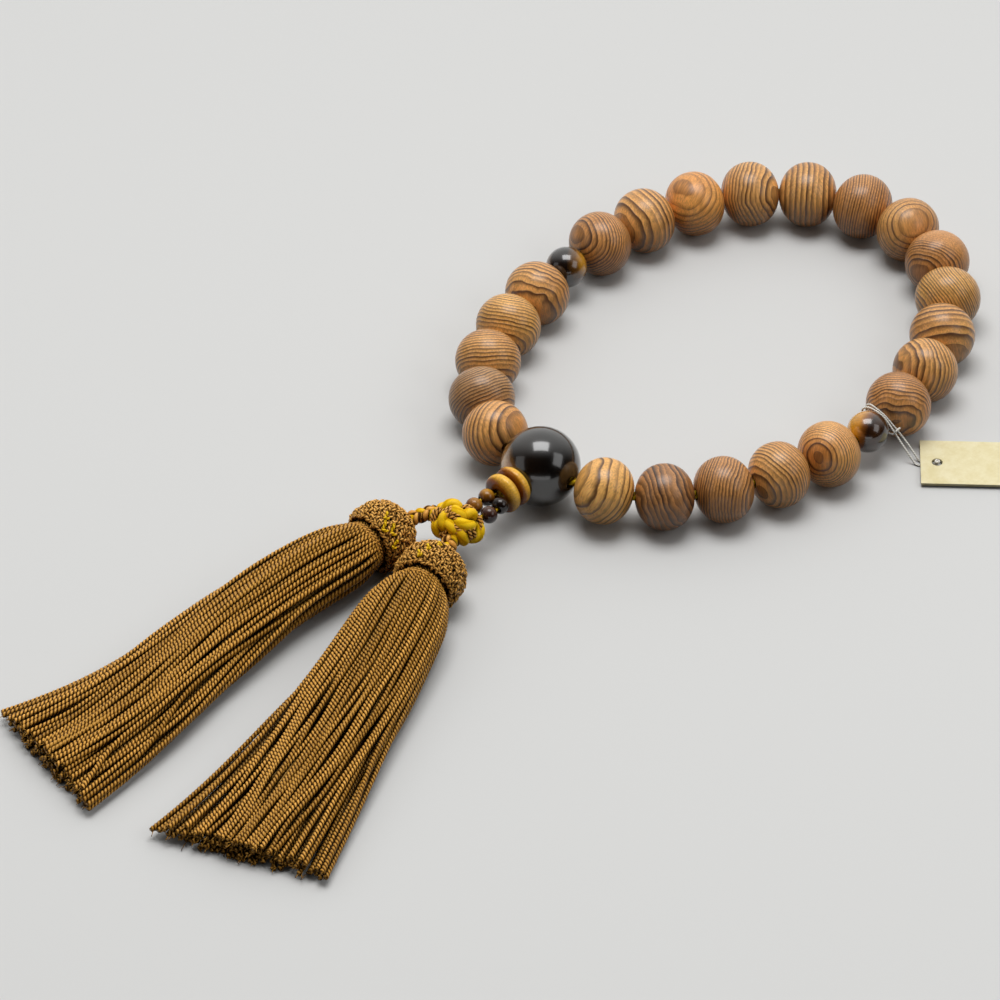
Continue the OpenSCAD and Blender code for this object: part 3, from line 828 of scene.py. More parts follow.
# The discs run golden at the upper right to brown at the lower left as seen from the front: partly the stone's bands,
# partly a painted highlight on top and painted shade on the faces towards the gap between the discs.
DISC_1_BANDS_AND_PAINTED_LIGHT = ((-1, "F8C24A"), (-0.2, "F0B040"), (0.1, "A8640F"), (0.5, "7A3E0C"), (1, "6A340A"))
DISC_2_BANDS_AND_PAINTED_LIGHT = ((-1, "C88A2A"), (-0.6, "F8C24A"), (0.3, "F4B844"), (0.62, "A05A10"), (0.8, "74380C"), (1, "5A2A08"))
SEED_1_BANDS = ((-1, "1D110C"), (-0.2, "3A1E10"), (0.3, "7A4A14"), (1, "C58B24"))
SEED_2_BANDS = ((-1, "2A120A"), (0, "5A2A12"), (1, "B07828"))
SEED_3_BANDS = ((-1, "0C0807"), (0.3, "150D0A"), (1, "2A1A12"))
SEED_4_BANDS = ((-1, "140B0C"), (0, "2A1618"), (1, "553420"))

# Each small stone's body, which is also its CAD node, its cut and its finish
STONES = (
    ("spacer_left", SPACER, TigerEye((0.93, 0.2), LEFT_BANDS, 3.8)),
    ("spacer_right", SPACER, TigerEye((0.9, -0.25), RIGHT_BANDS, 3.8)),
    # The discs' pole points down and left as seen from the front, towards their painted shade.
    ("neck_disc_1", DISC, TigerEye((-0.74, -0.53), DISC_1_BANDS_AND_PAINTED_LIGHT, 1.25, warp=0.3, gloss=0.3, haze=0.2, shine=0.2)),
    ("neck_disc_2", DISC, TigerEye((-0.74, -0.53), DISC_2_BANDS_AND_PAINTED_LIGHT, 1.25, warp=0.3, gloss=0.3, haze=0.2, shine=0.2)),
    ("neck_seed_1", SEED, TigerEye((0.1, 0.95), SEED_1_BANDS, 1.6, gloss=0.5, haze=0.15, shine=0.2)),
    ("neck_seed_2", SEED, TigerEye((0.4, 0.8), SEED_2_BANDS, 1.6, gloss=0.5, haze=0.15, shine=0.2)),
    ("neck_seed_3", SEED, TigerEye((0.4, 0.8), SEED_3_BANDS, 1.6, gloss=0.6, shine=0.2)),
    ("neck_seed_4", SEED, TigerEye((0.2, 0.9), SEED_4_BANDS, 1.6, gloss=0.6, shine=0.2)),
)


@dataclass(frozen=True)
class StoneBeads:
    """The tiger-eye beads: the large one at the join, two spacers, two discs and four small beads."""

    guru_finish: TigerEye = TigerEye((-0.97, -0.1), GURU_BANDS, 7.2)

    @staticmethod
    def carve(label: str, middle: np.ndarray, axis: np.ndarray, cut: StoneCut, finish: TigerEye) -> bpy.types.Object:
        """Make one stone.

        Args:
            label: Its name, without what all stones' names share.
            middle: Its middle, in mm.
            axis: Direction of its bore.
            cut: Its shape.
            finish: Its look.

        Returns:
            The piece.
        """
        shell = Shell()
        lathe(shell, middle, axis, bead_outline(cut.diameter, cut.length, cut.power, cut.bore, cut.steps), cut.sides)
        return shell.build(f"{label}_stone", finish.make(f"polished_tiger_eye_{label}", middle))

    def build(self) -> None:
        """Build, dress and seat every stone bead."""
        guru = self.carve("guru", guru_middle(), np.array([0, 1.0, 0]), GURU, self.guru_finish)
        hand_over(guru, "base", GURU.slot, "guru_bead")
        for body, cut, finish in STONES:
            piece = self.carve(body, joint_at(body), joint_axis(body), cut, finish)
            hand_over(piece, body, cut.slot, body)
        log.info("stone beads: %d", len(STONES) + 1)


# ---------------------------------------------------------------- the cords
@dataclass(frozen=True)
class Stringing:
    """The cord through the ring of beads, and the cords of the neck. Sizes in mm."""

    ring: Cord = Cord(1.75, 3.4, plies=3, depth=0.22, sides=12, rings_a_turn=10)
    stem: Cord = Cord(2.5, 5.0, plies=4, depth=0.2, sides=16, rings_a_turn=14)
    branch: Cord = Cord(0.85, 1.7, plies=2, depth=0.28, sides=8, rings_a_turn=10)
    # How far the cord runs straight to each side of a piece's middle
    straight_in_bead: float = 2.6
    straight_in_spacer: float = 1.3
    straight_in_guru: float = 3.5

    @staticmethod
    def order() -> list[str]:
        """Return the bodies on the ring, in order from the large bead."""
        wood = [f"bead_{n:02d}" for n in range(1, len(BEADS) + 1)]
        return wood[:5] + ["spacer_left"] + wood[5:17] + ["spacer_right"] + wood[17:]

    def build_ring(self) -> None:
        """Build the cord through the ring of beads."""
        guru, pieces = guru_middle(), self.order()
        around = [guru] + [joint_at(body) for body in pieces]
        points = []
        for i, body in enumerate(pieces, start=1):
            ahead = around[(i + 1) % len(around)] - around[i - 1]
            axis = joint_axis(body)
            axis = axis * np.sign(axis @ ahead)
            reach = self.straight_in_spacer if body.startswith("spacer") else self.straight_in_bead
            points += [around[i] - axis * reach, around[i] + axis * reach]
        ahead = unit(around[1] - around[-1])
        points += [guru - ahead * self.straight_in_guru, guru + ahead * self.straight_in_guru]
        shell = Shell()
        self.ring.add(shell, curve_through(np.array(points + points[:1]), 10)[:-1], closed=True, tone=0.6)
        ring = shell.build("ring_cord", YELLOW_RAYON.make("yellow_rayon_ring"))
        hand_over(ring, "base", "yellow_cord", "stringing_cord")

    def build_neck(self) -> None:
        """Build the neck's stem, its two branches and their end inside the knot."""
        guru, pivot, shell = guru_middle(), joint_at("knot"), Shell()
        fork = joint_at("neck_disc_2") + [-0.9, 0, 0]
        self.stem.add(shell, np.array([guru + [-1.2, 0, 0], fork]), tone=0.5)
        for first, second in (("neck_seed_1", "neck_seed_2"), ("neck_seed_3", "neck_seed_4")):
            a, b = joint_at(first), joint_at(second)
            side = np.sign(a[1] - guru[1])
            bow = (a + b) / 2 + [0, side * 0.14, 0]
            path = [fork + [0.8, side * 0.5, 0], a, bow, b, pivot + (b - pivot) * 0.3]
            self.branch.add(shell, curve_through(np.array(path), 8), tone=0.35)
        tail = np.array([[1.0, 0.8, 0.2], [0.2, 0, 0.5], [-0.8, -0.6, 0.2], [-1.0, 0.4, -0.3], [0, 0.9, -0.4]])
        self.branch.add(shell, curve_through(pivot + tail, 8), tone=0.3)
        neck = shell.build("neck_cords", YELLOW_RAYON.make("yellow_rayon_neck"))
        hand_over(neck, "base", "yellow_cord", "neck_stem", "neck_branch_left", "neck_branch_right", "neck_end")

    def build(self) -> None:
        """Build the ring's cord and the neck's cords."""
        self.build_ring()
        self.build_neck()
        log.info("stringing cord and neck cords")


@dataclass(frozen=True)
class Lobe:
    """One stretch of cord on the knot's face: its middle as seen() takes it, its lean and half span in degrees."""

    across: float
    up: float
    lean: float
    span: float
    behind: bool = False


YELLOW_LOBES = (
    Lobe(0.16, 0.66, -52, 27), Lobe(-0.25, 0.92, -10, 25), Lobe(-0.56, 0.14, 82, 31), Lobe(-0.3, -0.22, -50, 25),
    Lobe(0.4, 0.08, -14, 29), Lobe(0.68, 0.36, 10, 20), Lobe(0.3, -0.56, -66, 28), Lobe(-0.32, -0.84, -35, 26),
    Lobe(-0.92, -0.28, 78, 27), Lobe(0.9, -0.35, 60, 26), Lobe(0.0, 0.2, 40, 32, True), Lobe(0.5, -0.3, -40, 32, True),
    Lobe(-0.5, 0.5, -30, 32, True), Lobe(-0.4, -0.45, 60, 32, True), Lobe(0.55, 0.6, 10, 30, True),
)
BROWN_LOBES = (
    Lobe(-0.45, 0.62, 24, 32), Lobe(-0.08, 0.32, -26, 28), Lobe(0.62, 0.68, -46, 30), Lobe(0.95, 0.05, -82, 34),
    Lobe(0.08, -0.18, -36, 30), Lobe(-0.62, -0.5, 30, 30), Lobe(0.6, -0.28, -62, 28), Lobe(-0.95, 0.3, 74, 34),
    Lobe(-0.02, -0.75, 30, 28), Lobe(0.0, -0.62, 0, 45, True), Lobe(0.3, 0.3, -60, 45, True),
    Lobe(-0.6, 0.0, 20, 45, True), Lobe(-0.05, -0.05, -20, 45, True),
)


@dataclass(frozen=True)
class Knot:
    """The knot that joins the neck to the plaits: fat yellow lobes with bunches of thin brown cord between.

    Sizes in mm, angles in degrees.
    """

    middle_from_pivot: tuple[float, float, float] = (-1.75, 0.55, 0.0)
    radius: float = 4.4
    half_length: float = 5.5
    swing: float = 15.0
    seed_radius: float = 1.6
    seed_room: float = 0.12
    bunch: tuple[float, ...] = (-0.8, 0.0, 0.8)  # the thin cords' places beside the middle of a brown lobe
    fat: Cord = Cord(2.15, 9.0, plies=3, depth=0.03, sides=14, rings_a_turn=40)
    thin: Cord = Cord(0.76, 1.5, plies=2, depth=0.3, sides=8, rings_a_turn=8)

    def middle(self) -> np.ndarray:
        """Return the knot's middle."""
        return joint_at("knot") + self.middle_from_pivot

    def face(self, direction: np.ndarray) -> np.ndarray:
        """Return how far the knot's face lies from its middle in each direction."""
        return 1 / np.linalg.norm(direction / [self.radius, self.half_length, self.radius], axis=1)

    def stretch(self, lobe: Lobe, aside: float, thickness: float) -> np.ndarray:
        """Return the line of one cord of a lobe: out of the knot, over its face and back in.

        Args:
            lobe: The lobe.
            aside: Distance beside the lobe's middle line, in mm.
            thickness: The cord's thickness.
        """
        top = seen(lobe.across, lobe.up, lobe.behind)
        right, up, _ = front_axes()
        lean, span = math.radians(lobe.lean), math.radians(lobe.span)
        way = math.cos(lean) * right + math.sin(lean) * up
        way = unit(way - top * float(way @ top))
        angle = np.linspace(-1.25, 1.25, 30) * span
        bow = 0.16 * math.sin(lobe.across * 9 + lobe.up * 5) * np.cos(angle * 90 / lobe.span)
        beside = (bow + aside / self.radius)[:, None] * np.cross(top, way)
        line = np.cos(angle)[:, None] * top + np.sin(angle)[:, None] * way + beside
        line = line / np.linalg.norm(line, axis=1)[:, None]
        sink = 1.9 * np.clip(np.abs(angle) / span - 0.25, 0, None) ** 1.6
        path = self.middle() + line * (self.face(line) - thickness / 2 - sink)[:, None]
        return self.clear_of_seeds(path, thickness)

    def clear_of_seeds(self, path: np.ndarray, thickness: float) -> np.ndarray:
        """Return a cord's line pushed out of the room that the small beads take at the two ends of the swing."""
        pivot = joint_at("knot")
        for number in range(1, 5):
            for swing in (-self.swing, self.swing):
                c, s = math.cos(math.radians(swing)), math.sin(math.radians(swing))
                x, y, z = joint_at(f"neck_seed_{number}") - pivot
                seed = pivot + [c * x - s * y, s * x + c * y, z]
                away = np.linalg.norm(path - seed, axis=1)[:, None]
                room = self.seed_radius + thickness / 2 + self.seed_room
                path = seed + (path - seed) * np.maximum(1, room / away)
        return path

    def build(self) -> None:
        """Build the knot."""
        fat, thin, core = Shell(), Shell(), Shell()
        for number, lobe in enumerate(YELLOW_LOBES):
            path = self.stretch(lobe, 0.0, self.fat.diameter - 0.2)
            self.fat.add(fat, path, tone=0.5 + 0.07 * (number % 5), start=number)
        for number, lobe in enumerate(BROWN_LOBES):
            for aside in self.bunch:
                path = self.stretch(lobe, aside, self.thin.diameter + 0.15 + abs(aside) * 0.35)
                self.thin.add(thin, path, tone=0.5 + aside * 0.3, start=number + aside)
        a = np.linspace(-1.45, 1.45, 14)
        profile = np.column_stack([(self.radius - 1.3) * np.cos(a), (self.half_length - 1.4) * np.sin(a)])
        lathe(core, self.middle(), np.array([0, 1.0, 0]), profile, 28)
        for label, name, shell, finish, nodes in (
            ("yellow", "yellow_rayon_knot", fat, SMOOTH_YELLOW_RAYON, ("knot",)),
            ("brown", "brown_rayon_knot", thin, CROCHET_RAYON, ()),
            ("heart", "brown_rayon_knot_heart", core, CROCHET_RAYON, ()),
        ):
            hand_over(shell.build(f"knot_{label}", finish.make(name)), "knot", "two_colour_cord", *nodes)
        log.info("knot: %d lobes", len(YELLOW_LOBES) + len(BROWN_LOBES))


@dataclass(frozen=True)
class Plait:
    """A short plait of brown and yellow strands from the knot to a tassel's head. Sizes in mm."""

    side: str
    width: float = 0.8
    height: float = 0.45
    pitch: float = 4.6
    strand: Cord = Cord(1.5, 2.6, plies=2, depth=0.14, sides=10, rings_a_turn=12)

    def build(self) -> None:
        """Build the plait."""
        body = f"plait_{self.side}"
        start, end = joint_at(body), joint_at(f"tassel_{self.side}")
        along = unit(end - start)
        across = unit(np.cross(UP, along))
        up = np.cross(along, across)
        s = np.linspace(-1.3, np.linalg.norm(end - start) + 0.5, 44)
        shells = {"brown": Shell(), "yellow": Shell()}
        for i in range(3):
            turn = 2 * math.pi * (s / self.pitch + i / 3)
            sway = self.width * np.sin(turn)[:, None] * across + self.height * np.sin(2 * turn)[:, None] * up
            shell = shells["yellow" if i == 1 else "brown"]
            self.strand.add(shell, start + s[:, None] * along + sway, tone=0.3 + 0.2 * i)
        for colour, finish, nodes in (("brown", CROCHET_RAYON, (body,)), ("yellow", SMOOTH_YELLOW_RAYON, ())):
            piece = shells[colour].build(f"{body}_{colour}", finish.make(f"{colour}_rayon_{body}"))
            hand_over(piece, body, "two_colour_cord", *nodes)
        log.info("plait %s", self.side)


# ---------------------------------------------------------------- the tassels
def ripple(rng: np.random.Generator, angle: np.ndarray, *waves: tuple[float, int]) -> np.ndarray:
    """Return a sum of waves round a circle, each with its size and count and a start that is drawn."""
    return sum(size * np.sin(count * angle + rng.uniform(0, 6)) for size, count in waves)


@dataclass(frozen=True)
class Tassel:
    """One tassel: a crocheted head, a cord bound twice round its neck, and a skirt of twisted strands.

    Sizes in mm, angles in degrees.
    """

    side: str
    length: float
    width: float
    start_width: float
    spread: float  # power by which the skirt widens
    bend: float  # turn of the loose ends' row
    bulge: float  # the skirt's middle: one arch, a double one and a drift aside
    wave: float
    drift: float
    seed: int
    yellow_at: tuple[tuple[float, float, float], ...]  # yellow yarn: place from the apex, and its two ends' turns
    start_thickness: float = 11.0
    tip_thickness: float = 4.5
    neck: float = 9.2
    bound: float = 4.3
    head_diameter: float = 12.4
    head_front: float = 5.4
    stitch_rows: int = 7
    stitch_pace: float = 1.72
    lining_depth: float = 1.45
    strands: int = 104
    strand: Cord = Cord(0.98, 1.64, plies=2, depth=0.26, sides=8, rings_a_turn=6.5)
    yarn: Cord = Cord(0.68, 1.5, plies=2, depth=0.3, sides=6, rings_a_turn=7)
    fibre: Cord = Cord(0.16, 3.0, plies=2, depth=0.0, sides=3, rings_a_turn=6)

    @property
    def body(self) -> str:
        """The body that carries the tassel, whose name starts the names of its pieces and nodes."""
        return f"tassel_{self.side}"

    @property
    def turn(self) -> float:
        """The way that the tassel points, in degrees."""
        return joint_turn(self.body)

    @property
    def along(self) -> np.ndarray:
        """The direction that the tassel points in."""
        return heading(self.turn)

    @property
    def across(self) -> np.ndarray:
        """The level direction to its side."""
        return heading(self.turn + 90)

    @property
    def head(self) -> np.ndarray:
        """The head's middle."""
        return joint_at(self.body) + self.along * (self.head_front + 0.8)

    def section(self, t: np.ndarray) -> tuple[np.ndarray, np.ndarray, np.ndarray]:
        """Return the skirt's width, thickness and height of its middle, at t from 0 at the binding to 1 at the ends."""
        gather = np.exp(-25 * t)
        width = self.start_width + (self.width - self.start_width) * t**self.spread
        width = width - (self.start_width - self.neck) * gather
        thick = self.tip_thickness + (self.start_thickness - self.tip_thickness) * (1 - t) ** 1.3
        thick = thick - (self.start_thickness - self.neck) * gather
        return width, thick, thick / 2 + (self.head[2] - self.neck / 2) * (1 - t) ** 2

    def swerve(self, t: np.ndarray) -> np.ndarray:
        """Return how far the skirt's middle lies to the side of a straight line, at t from the binding to the ends."""
        return self.bulge * np.sin(math.pi * t) + self.wave * np.sin(2 * math.pi * t) + self.drift * t**2

    def settle(self) -> tuple[np.ndarray, np.ndarray]:
        """Lay the strands beside each other at each section, from the loose ends back to the head.

        Returns:
            The sections' t, and each strand's place across and up, sections by strands by 2.
        """
        rng = np.random.default_rng(self.seed)
        ts = np.linspace(0, 1, 27) ** 1.3
        last = len(ts) - 1
        width, thick, _ = self.section(ts)
        half = np.column_stack([width, thick]) / 2 - self.strand.diameter / 2
        angle, reach = rng.uniform(0, 2 * math.pi, self.strands), np.sqrt(rng.uniform(0, 1, self.strands))
        place = half[-1] * np.column_stack([reach * np.cos(angle), reach * np.sin(angle)])
        places = np.empty((len(ts), self.strands, 2))
        for i in range(last, -1, -1):
            if i < last:
                place = place * half[i] / half[i + 1]
            for _ in range(160 if i == last else 30):
                gap = place[:, None] - place[None]
                far = np.linalg.norm(gap, axis=2) + np.eye(self.strands) * 9
                push = np.clip(self.strand.diameter * 1.1 - far, 0, None) / far
                place = place + 0.3 * (gap * push[..., None]).sum(1)
                place = place / np.maximum(np.linalg.norm(place / half[i], axis=1), 1)[:, None]
            places[i] = place
        for _ in range(3):
            places[1:-1] = (places[:-2] + 2 * places[1:-1] + places[2:]) / 4
        return ts, places

    def strand_paths(self) -> list[tuple[np.ndarray, bool]]:
        """Return each strand's line, and whether it shows."""
        rng = np.random.default_rng(self.seed + 50)
        ts, places = self.settle()
        width, thick, height = self.section(ts)
        t = np.linspace(0, 1, 70) ** 1.2
        middle_height = np.interp(t, ts, height)
        sideways = np.stack([heading(self.turn + 90 + self.bend * v) for v in t])
        paths = []
        for k in range(self.strands):
            rim = np.hypot(places[:, k, 0] / (width / 2), places[:, k, 1] / (thick / 2))
            stop = rng.uniform(-1.3, 0.2)
            x, z = np.interp(t, ts, places[:, k, 0]), np.interp(t, ts, places[:, k, 1])
            for _ in range(2):
                x[1:-1], z[1:-1] = (x[:-2] + x[1:-1] * 2 + x[2:]) / 4, (z[:-2] + z[1:-1] * 2 + z[2:]) / 4
            inward = 0.4 * (1 - (x / np.abs(places[-1, :, 0]).max()) ** 2)
            sway = inward * np.sin(2 * math.pi * (t * rng.uniform(1.0, 2.4) + rng.uniform())) * eased(t, 0.1, 0.5)
            s = self.bound + (self.length + stop - self.bound) * t
            line = self.head * [1, 1, 0] + s[:, None] * self.along + self.swerve(t)[:, None] * self.across
            line = line + (x + sway)[:, None] * sideways
            uneven = rng.uniform(-1.3, 0.15) * eased(t, 0.0, 0.08) * (1 - 0.7 * eased(t, 0.2, 0.6))
            line[:, 2] = np.maximum(middle_height + uneven + z, self.strand.diameter * 0.58)
            paths.append((np.vstack([line[0] - self.along * 2.0, line]), bool((rim[4:] > 0.6).any())))
        return paths

    def fray(self, shell: Shell, path: np.ndarray, count: int, tone: float, rng: np.random.Generator) -> None:
        """Add loose fibres at a strand's end.

        Args:
            shell: What they are added to.
            path: The strand's line.
            count: How many.
            tone: Their shade.
            rng: Draws their places.
        """
        tip, ahead = path[-1], unit(path[-1] - path[-3])
        for _ in range(count):
            spray = np.array([rng.normal(), rng.normal(), rng.normal() * 0.5]) * 0.42
            root = tip + spray * 0.5 - ahead * 0.3
            end = root + ahead * rng.uniform(0.4, 0.9) + spray * 0.7
            root[2], end[2] = max(root[2], 0.1), max(end[2], 0.1)
            line = curve_through(np.array([root, (root + end) / 2 + [0, 0, 0.06], end]), 2)
            self.fibre.add(shell, line, tone=tone, step=0.4)

    def build_skirt(self) -> None:
        """Build the strands, in four pieces, and the loose fibres at their ends."""
        rng = np.random.default_rng(self.seed + 90)
        shells = [Shell() for _ in range(4)]
        # A strand starts thin under the binding and opens at its end
        start_taper, end_taper = (0.76, 0.8, 0.84, 0.88, 0.92, 0.96), (1.03, 1.12)
        for k, (path, shows) in enumerate(self.strand_paths()):
            shell = shells[k % 4]
            tone, start = rng.uniform(0.2, 0.95), rng.uniform(0, 6.28)
            if shows:
                self.strand.add(shell, path, tone=tone, start=start, taper=start_taper + (1,) * 34 + end_taper)
            else:
                self.strand.add(shell, path[:58], tone=tone, start=start, step=1.6)
                self.strand.add(shell, path[57:], tone=tone, start=start, taper=(1,) * 8 + end_taper)
            self.fray(shell, path, 1 + k % 2, tone, rng)
        finish = BROWN_RAYON.make(f"twisted_rayon_skirt_{self.side}")
        for number, shell in enumerate(shells, start=1):
            piece = shell.build(f"{self.body}_skirt_{number}", finish)
            hand_over(piece, self.body, "brown_cord", *((f"{self.body}_cords",) if number == 1 else ()))

    def on_head(self, m: np.ndarray, out: np.ndarray, angle: np.ndarray) -> np.ndarray:
        """Return points on the head.

        Args:
            m: Distance from the apex along the head's face.
            out: Distance outside the face.
            angle: Turn about the head's axis, in radians.
        """
        a = np.linspace(0, math.pi / 2, 60)
        half = self.head_diameter / 2
        r = np.concatenate([half * np.sin(a), [half, half - 0.15, half - 0.7, half - 1.6]])
        s = np.concatenate([-self.head_front * np.cos(a), [1.4, 2.6, 3.7, 4.5]])
        lengths = distances(np.column_stack([r, s]))
        radius, place = np.interp(m, lengths, r), np.interp(m, lengths, s)
        radius = radius + out * np.clip(radius / 2.0, 0.35, 1)
        place = place - out * np.clip(1 - radius / 5.5, 0, 1)
        points = round_about(self.head + place[:, None] * self.along, radius, angle, self.across, UP)
        points[:, 2] = np.maximum(points[:, 2], self.yarn.diameter * 0.55)
        return points

    def crochet_row(self, shell: Shell, row: int, rng: np.random.Generator) -> None:
        """Add one row of open stitches: two crossing waves of yarn, and from the third row a belt between rows."""
        m0 = 1.0 + self.stitch_pace * row
        radius = max(1.4, self.head_diameter / 2 * math.sin(min(math.pi / 2, m0 / 9.0 * math.pi / 2)))
        stitches = max(4, int(round(2 * math.pi * radius / 2.3)))
        phi = full_turn(44 * stitches)
        loose = ripple(rng, phi, (0.45, 3), (0.35, 5))
        slack = ripple(rng, phi, (0.2, 4), (0.16, 9))
        for half_stitch in (0.0, math.pi):
            reach = 1 + ripple(rng, phi, (0.2, 4), (0.16, 7))
            wave = stitches * phi + half_stitch + row * math.pi / 2 + loose
            m = np.clip(m0 + slack + 1.08 * reach * np.sin(wave), 0.12, None)
            lift = -0.5 + 0.3 * np.cos(2 * wave + 0.6) * reach + (0.16 if half_stitch else -0.1)
            path = self.on_head(m, lift, phi + 0.34 / radius * np.sin(2 * wave))
            self.yarn.add(shell, path, closed=True, tone=rng.uniform(0.35, 0.85))
        belt = m0 + self.stitch_pace / 2 + ripple(rng, phi, (0.28, stitches)) + slack
        if row > 1:
            path = self.on_head(belt, -0.72 + 0.22 * np.sin((stitches + 2) * phi), phi)
            self.yarn.add(shell, path, closed=True, tone=rng.uniform(0.2, 0.6))

    def build_head(self) -> None:
        """Build the crocheted cover, its yellow stitches and the lining under its holes, coloured all dark as painted
        shade.
        """
        brown, yellow, painted_shade_liner = Shell(), Shell(), Shell()
        rng = np.random.default_rng(self.seed + 130)
        for row in range(self.stitch_rows):
            self.crochet_row(brown, row, rng)
        rim = self.stitch_rows * self.stitch_pace
        phi = full_turn(300)
        path = self.on_head(rim + 0.4 + 0.12 * np.sin(17 * phi), -0.45 + 0.1 * np.sin(11 * phi), phi)
        self.yarn.add(brown, path, closed=True, tone=0.5)
        front = front_axes()[2]
        facing = math.atan2(front[2], float(front @ self.across))
        along = np.linspace(0, 1, 24)
        for m0, first, last in self.yellow_at:
            phi = facing + first + (last - first) * along
            path = self.on_head(m0 + 0.6 * np.sin(5 * along), 0.02 + 0.16 * np.sin(9.4 * along), phi)
            self.yarn.add(yellow, path, tone=0.6)
        ring = full_turn(40)
        depth = np.full(len(ring), -self.lining_depth)
        levels = np.linspace(0.02, rim + 0.6, 26)
        rings = np.stack([self.on_head(np.full(len(ring), level), depth, ring) for level in levels])
        # Painted shade: groove=1.0 gives the lining the dark groove colour all over, so that the holes look dark
        painted_shade_liner.add_rings(rings, groove=1.0, tone=1.0)
        for label, shell, finish, slot, nodes in (
            ("crochet", brown, CROCHET_RAYON, "brown_cord", (f"{self.body}_cover",)),
            ("crochet_yellow", yellow, YELLOW_RAYON, "two_colour_cord", ()),
            ("lining", painted_shade_liner, CROCHET_RAYON, "brown_cord", (f"{self.body}_core",)),
        ):
            piece = shell.build(f"{self.body}_{label}", finish.make(f"rayon_{label}_{self.side}"))
            hand_over(piece, self.body, slot, *nodes)

    def build_binding(self) -> None:
        """Build the cord bound twice round the skirt's neck."""
        shell = Shell()
        for s, reach in ((4.35, 4.3), (4.95, 4.4)):
            ring = round_about(self.head + s * self.along, reach, full_turn(240), self.across, UP)
            self.yarn.add(shell, ring, closed=True, tone=0.35)
        piece = shell.build(f"{self.body}_bound_cord", CROCHET_RAYON.make(f"rayon_binding_{self.side}"))
        hand_over(piece, self.body, "brown_cord", f"{self.body}_binding")

    def build(self) -> None:
        """Build the whole tassel."""
        self.build_skirt()
        self.build_head()
        self.build_binding()
        log.info("tassel %s: %d strands", self.side, self.strands)


# ---------------------------------------------------------------- the tag
# The thread's route from the card's hole to the far side of the loop: out from the cord, towards the bead, and up
THREAD_HALF = (
    (11.1, 1.9, -5.1), (11.0, 1.9, -5.5), (10.6, 1.75, -5.76), (9.5, 1.0, -5.77), (8.2, 0.6, -5.77),
    (7.4, 0.6, -5.35), (5.3, 0.6, -3.2), (2.8, 0.41, -0.9), (0.9, 0.22, 0.7), (-0.1, 0.22, 1.3),
    (-1.4, 0.26, 1.7), (-2.8, 0.41, 1.9), (-3.8, 0.6, 1.4), (-4.1, 0.6, 0.4), (-3.4, 0.6, -0.6),
    (-1.9, 0.3, -1.3), (0, 0.3, -1.55), (1.4, 0.5, -1.7), (2.8, 0.64, -1.35), (3.3, 0.6, -0.5),
)
THREAD_BAR = (3.4, 0.0, -0.2)
HOLE_SIDE = 1.55
FAR_SHARE = (1.0, 1.0, 0.9, 0.3)


@dataclass(frozen=True)
class Tag:
    """The bare card tag and the white thread that loops it to the ring. Sizes in mm."""

    thread: Cord = Cord(0.4, 0.8, plies=2, depth=0.25, sides=8, rings_a_turn=8)
    board: IvoryBoard = IvoryBoard()

    def place(self, local: np.ndarray) -> np.ndarray:
        """Return points in the row frame from points measured out from the cord, towards the bead, and up."""
        turn = joint_turn("tag")
        return joint_at("tag") + local @ np.stack([heading(turn), heading(turn + 90), UP])

    def thread_route(self) -> np.ndarray:
        """Return the thread's line: out from the hole, round the ring's cord and back to the hole."""
        half = np.array(THREAD_HALF)
        far = np.array([2 * HOLE_SIDE * share for share in FAR_SHARE] + [0] * (len(half) - len(FAR_SHARE)))
        other = np.column_stack([half[:, 0], far - half[:, 1], half[:, 2]])[::-1]
        return self.place(curve_through(np.vstack([half, [THREAD_BAR], other]), 6))

    def tied_knot(self) -> np.ndarray:
        """Return the line of the thread's knot in the hole."""
        u = np.linspace(0, 2 * math.pi, 60, endpoint=False)
        reach = 0.3 * (1 + 0.3 * np.cos(3 * u))
        knot = [11.1 + reach * np.cos(2 * u), HOLE_SIDE + reach * np.sin(2 * u), -4.95 + 0.16 * np.sin(3 * u)]
        return self.place(np.column_stack(knot))

    def build(self) -> None:
        """Build the thread, its knot in the card's hole, and dress the card."""
        route = self.thread_route()
        loop, knot = Shell(), Shell()
        self.thread.add(loop, route, tone=0.7)
        self.thread.add(knot, self.tied_knot(), closed=True, tone=0.7)
        thread = loop.build("tag_thread_loop", WHITE_COTTON.make("white_cotton_thread"))
        tied = knot.build("tag_thread_knot", WHITE_COTTON.make("white_cotton_knot"))
        card = frame["nodes"]["tag_card"]
        card.data.materials.clear()
        card.data.materials.append(self.board.make("ivory_board"))
        hand_over(thread, "tag", "white_thread", "tag_thread")
        hand_over(tied, "tag", "white_thread")


# ---------------------------------------------------------------- the studio
@dataclass(frozen=True)
class Softbox:
    """A soft rectangular lamp that faces the object."""

    name: str
    across: float  # where its reflection sits on a polished ball, in radii to the right of the ball's middle
    up: float  # the same, upwards
    width: float  # in metres
    height: float
    level: float  # how bright its face is


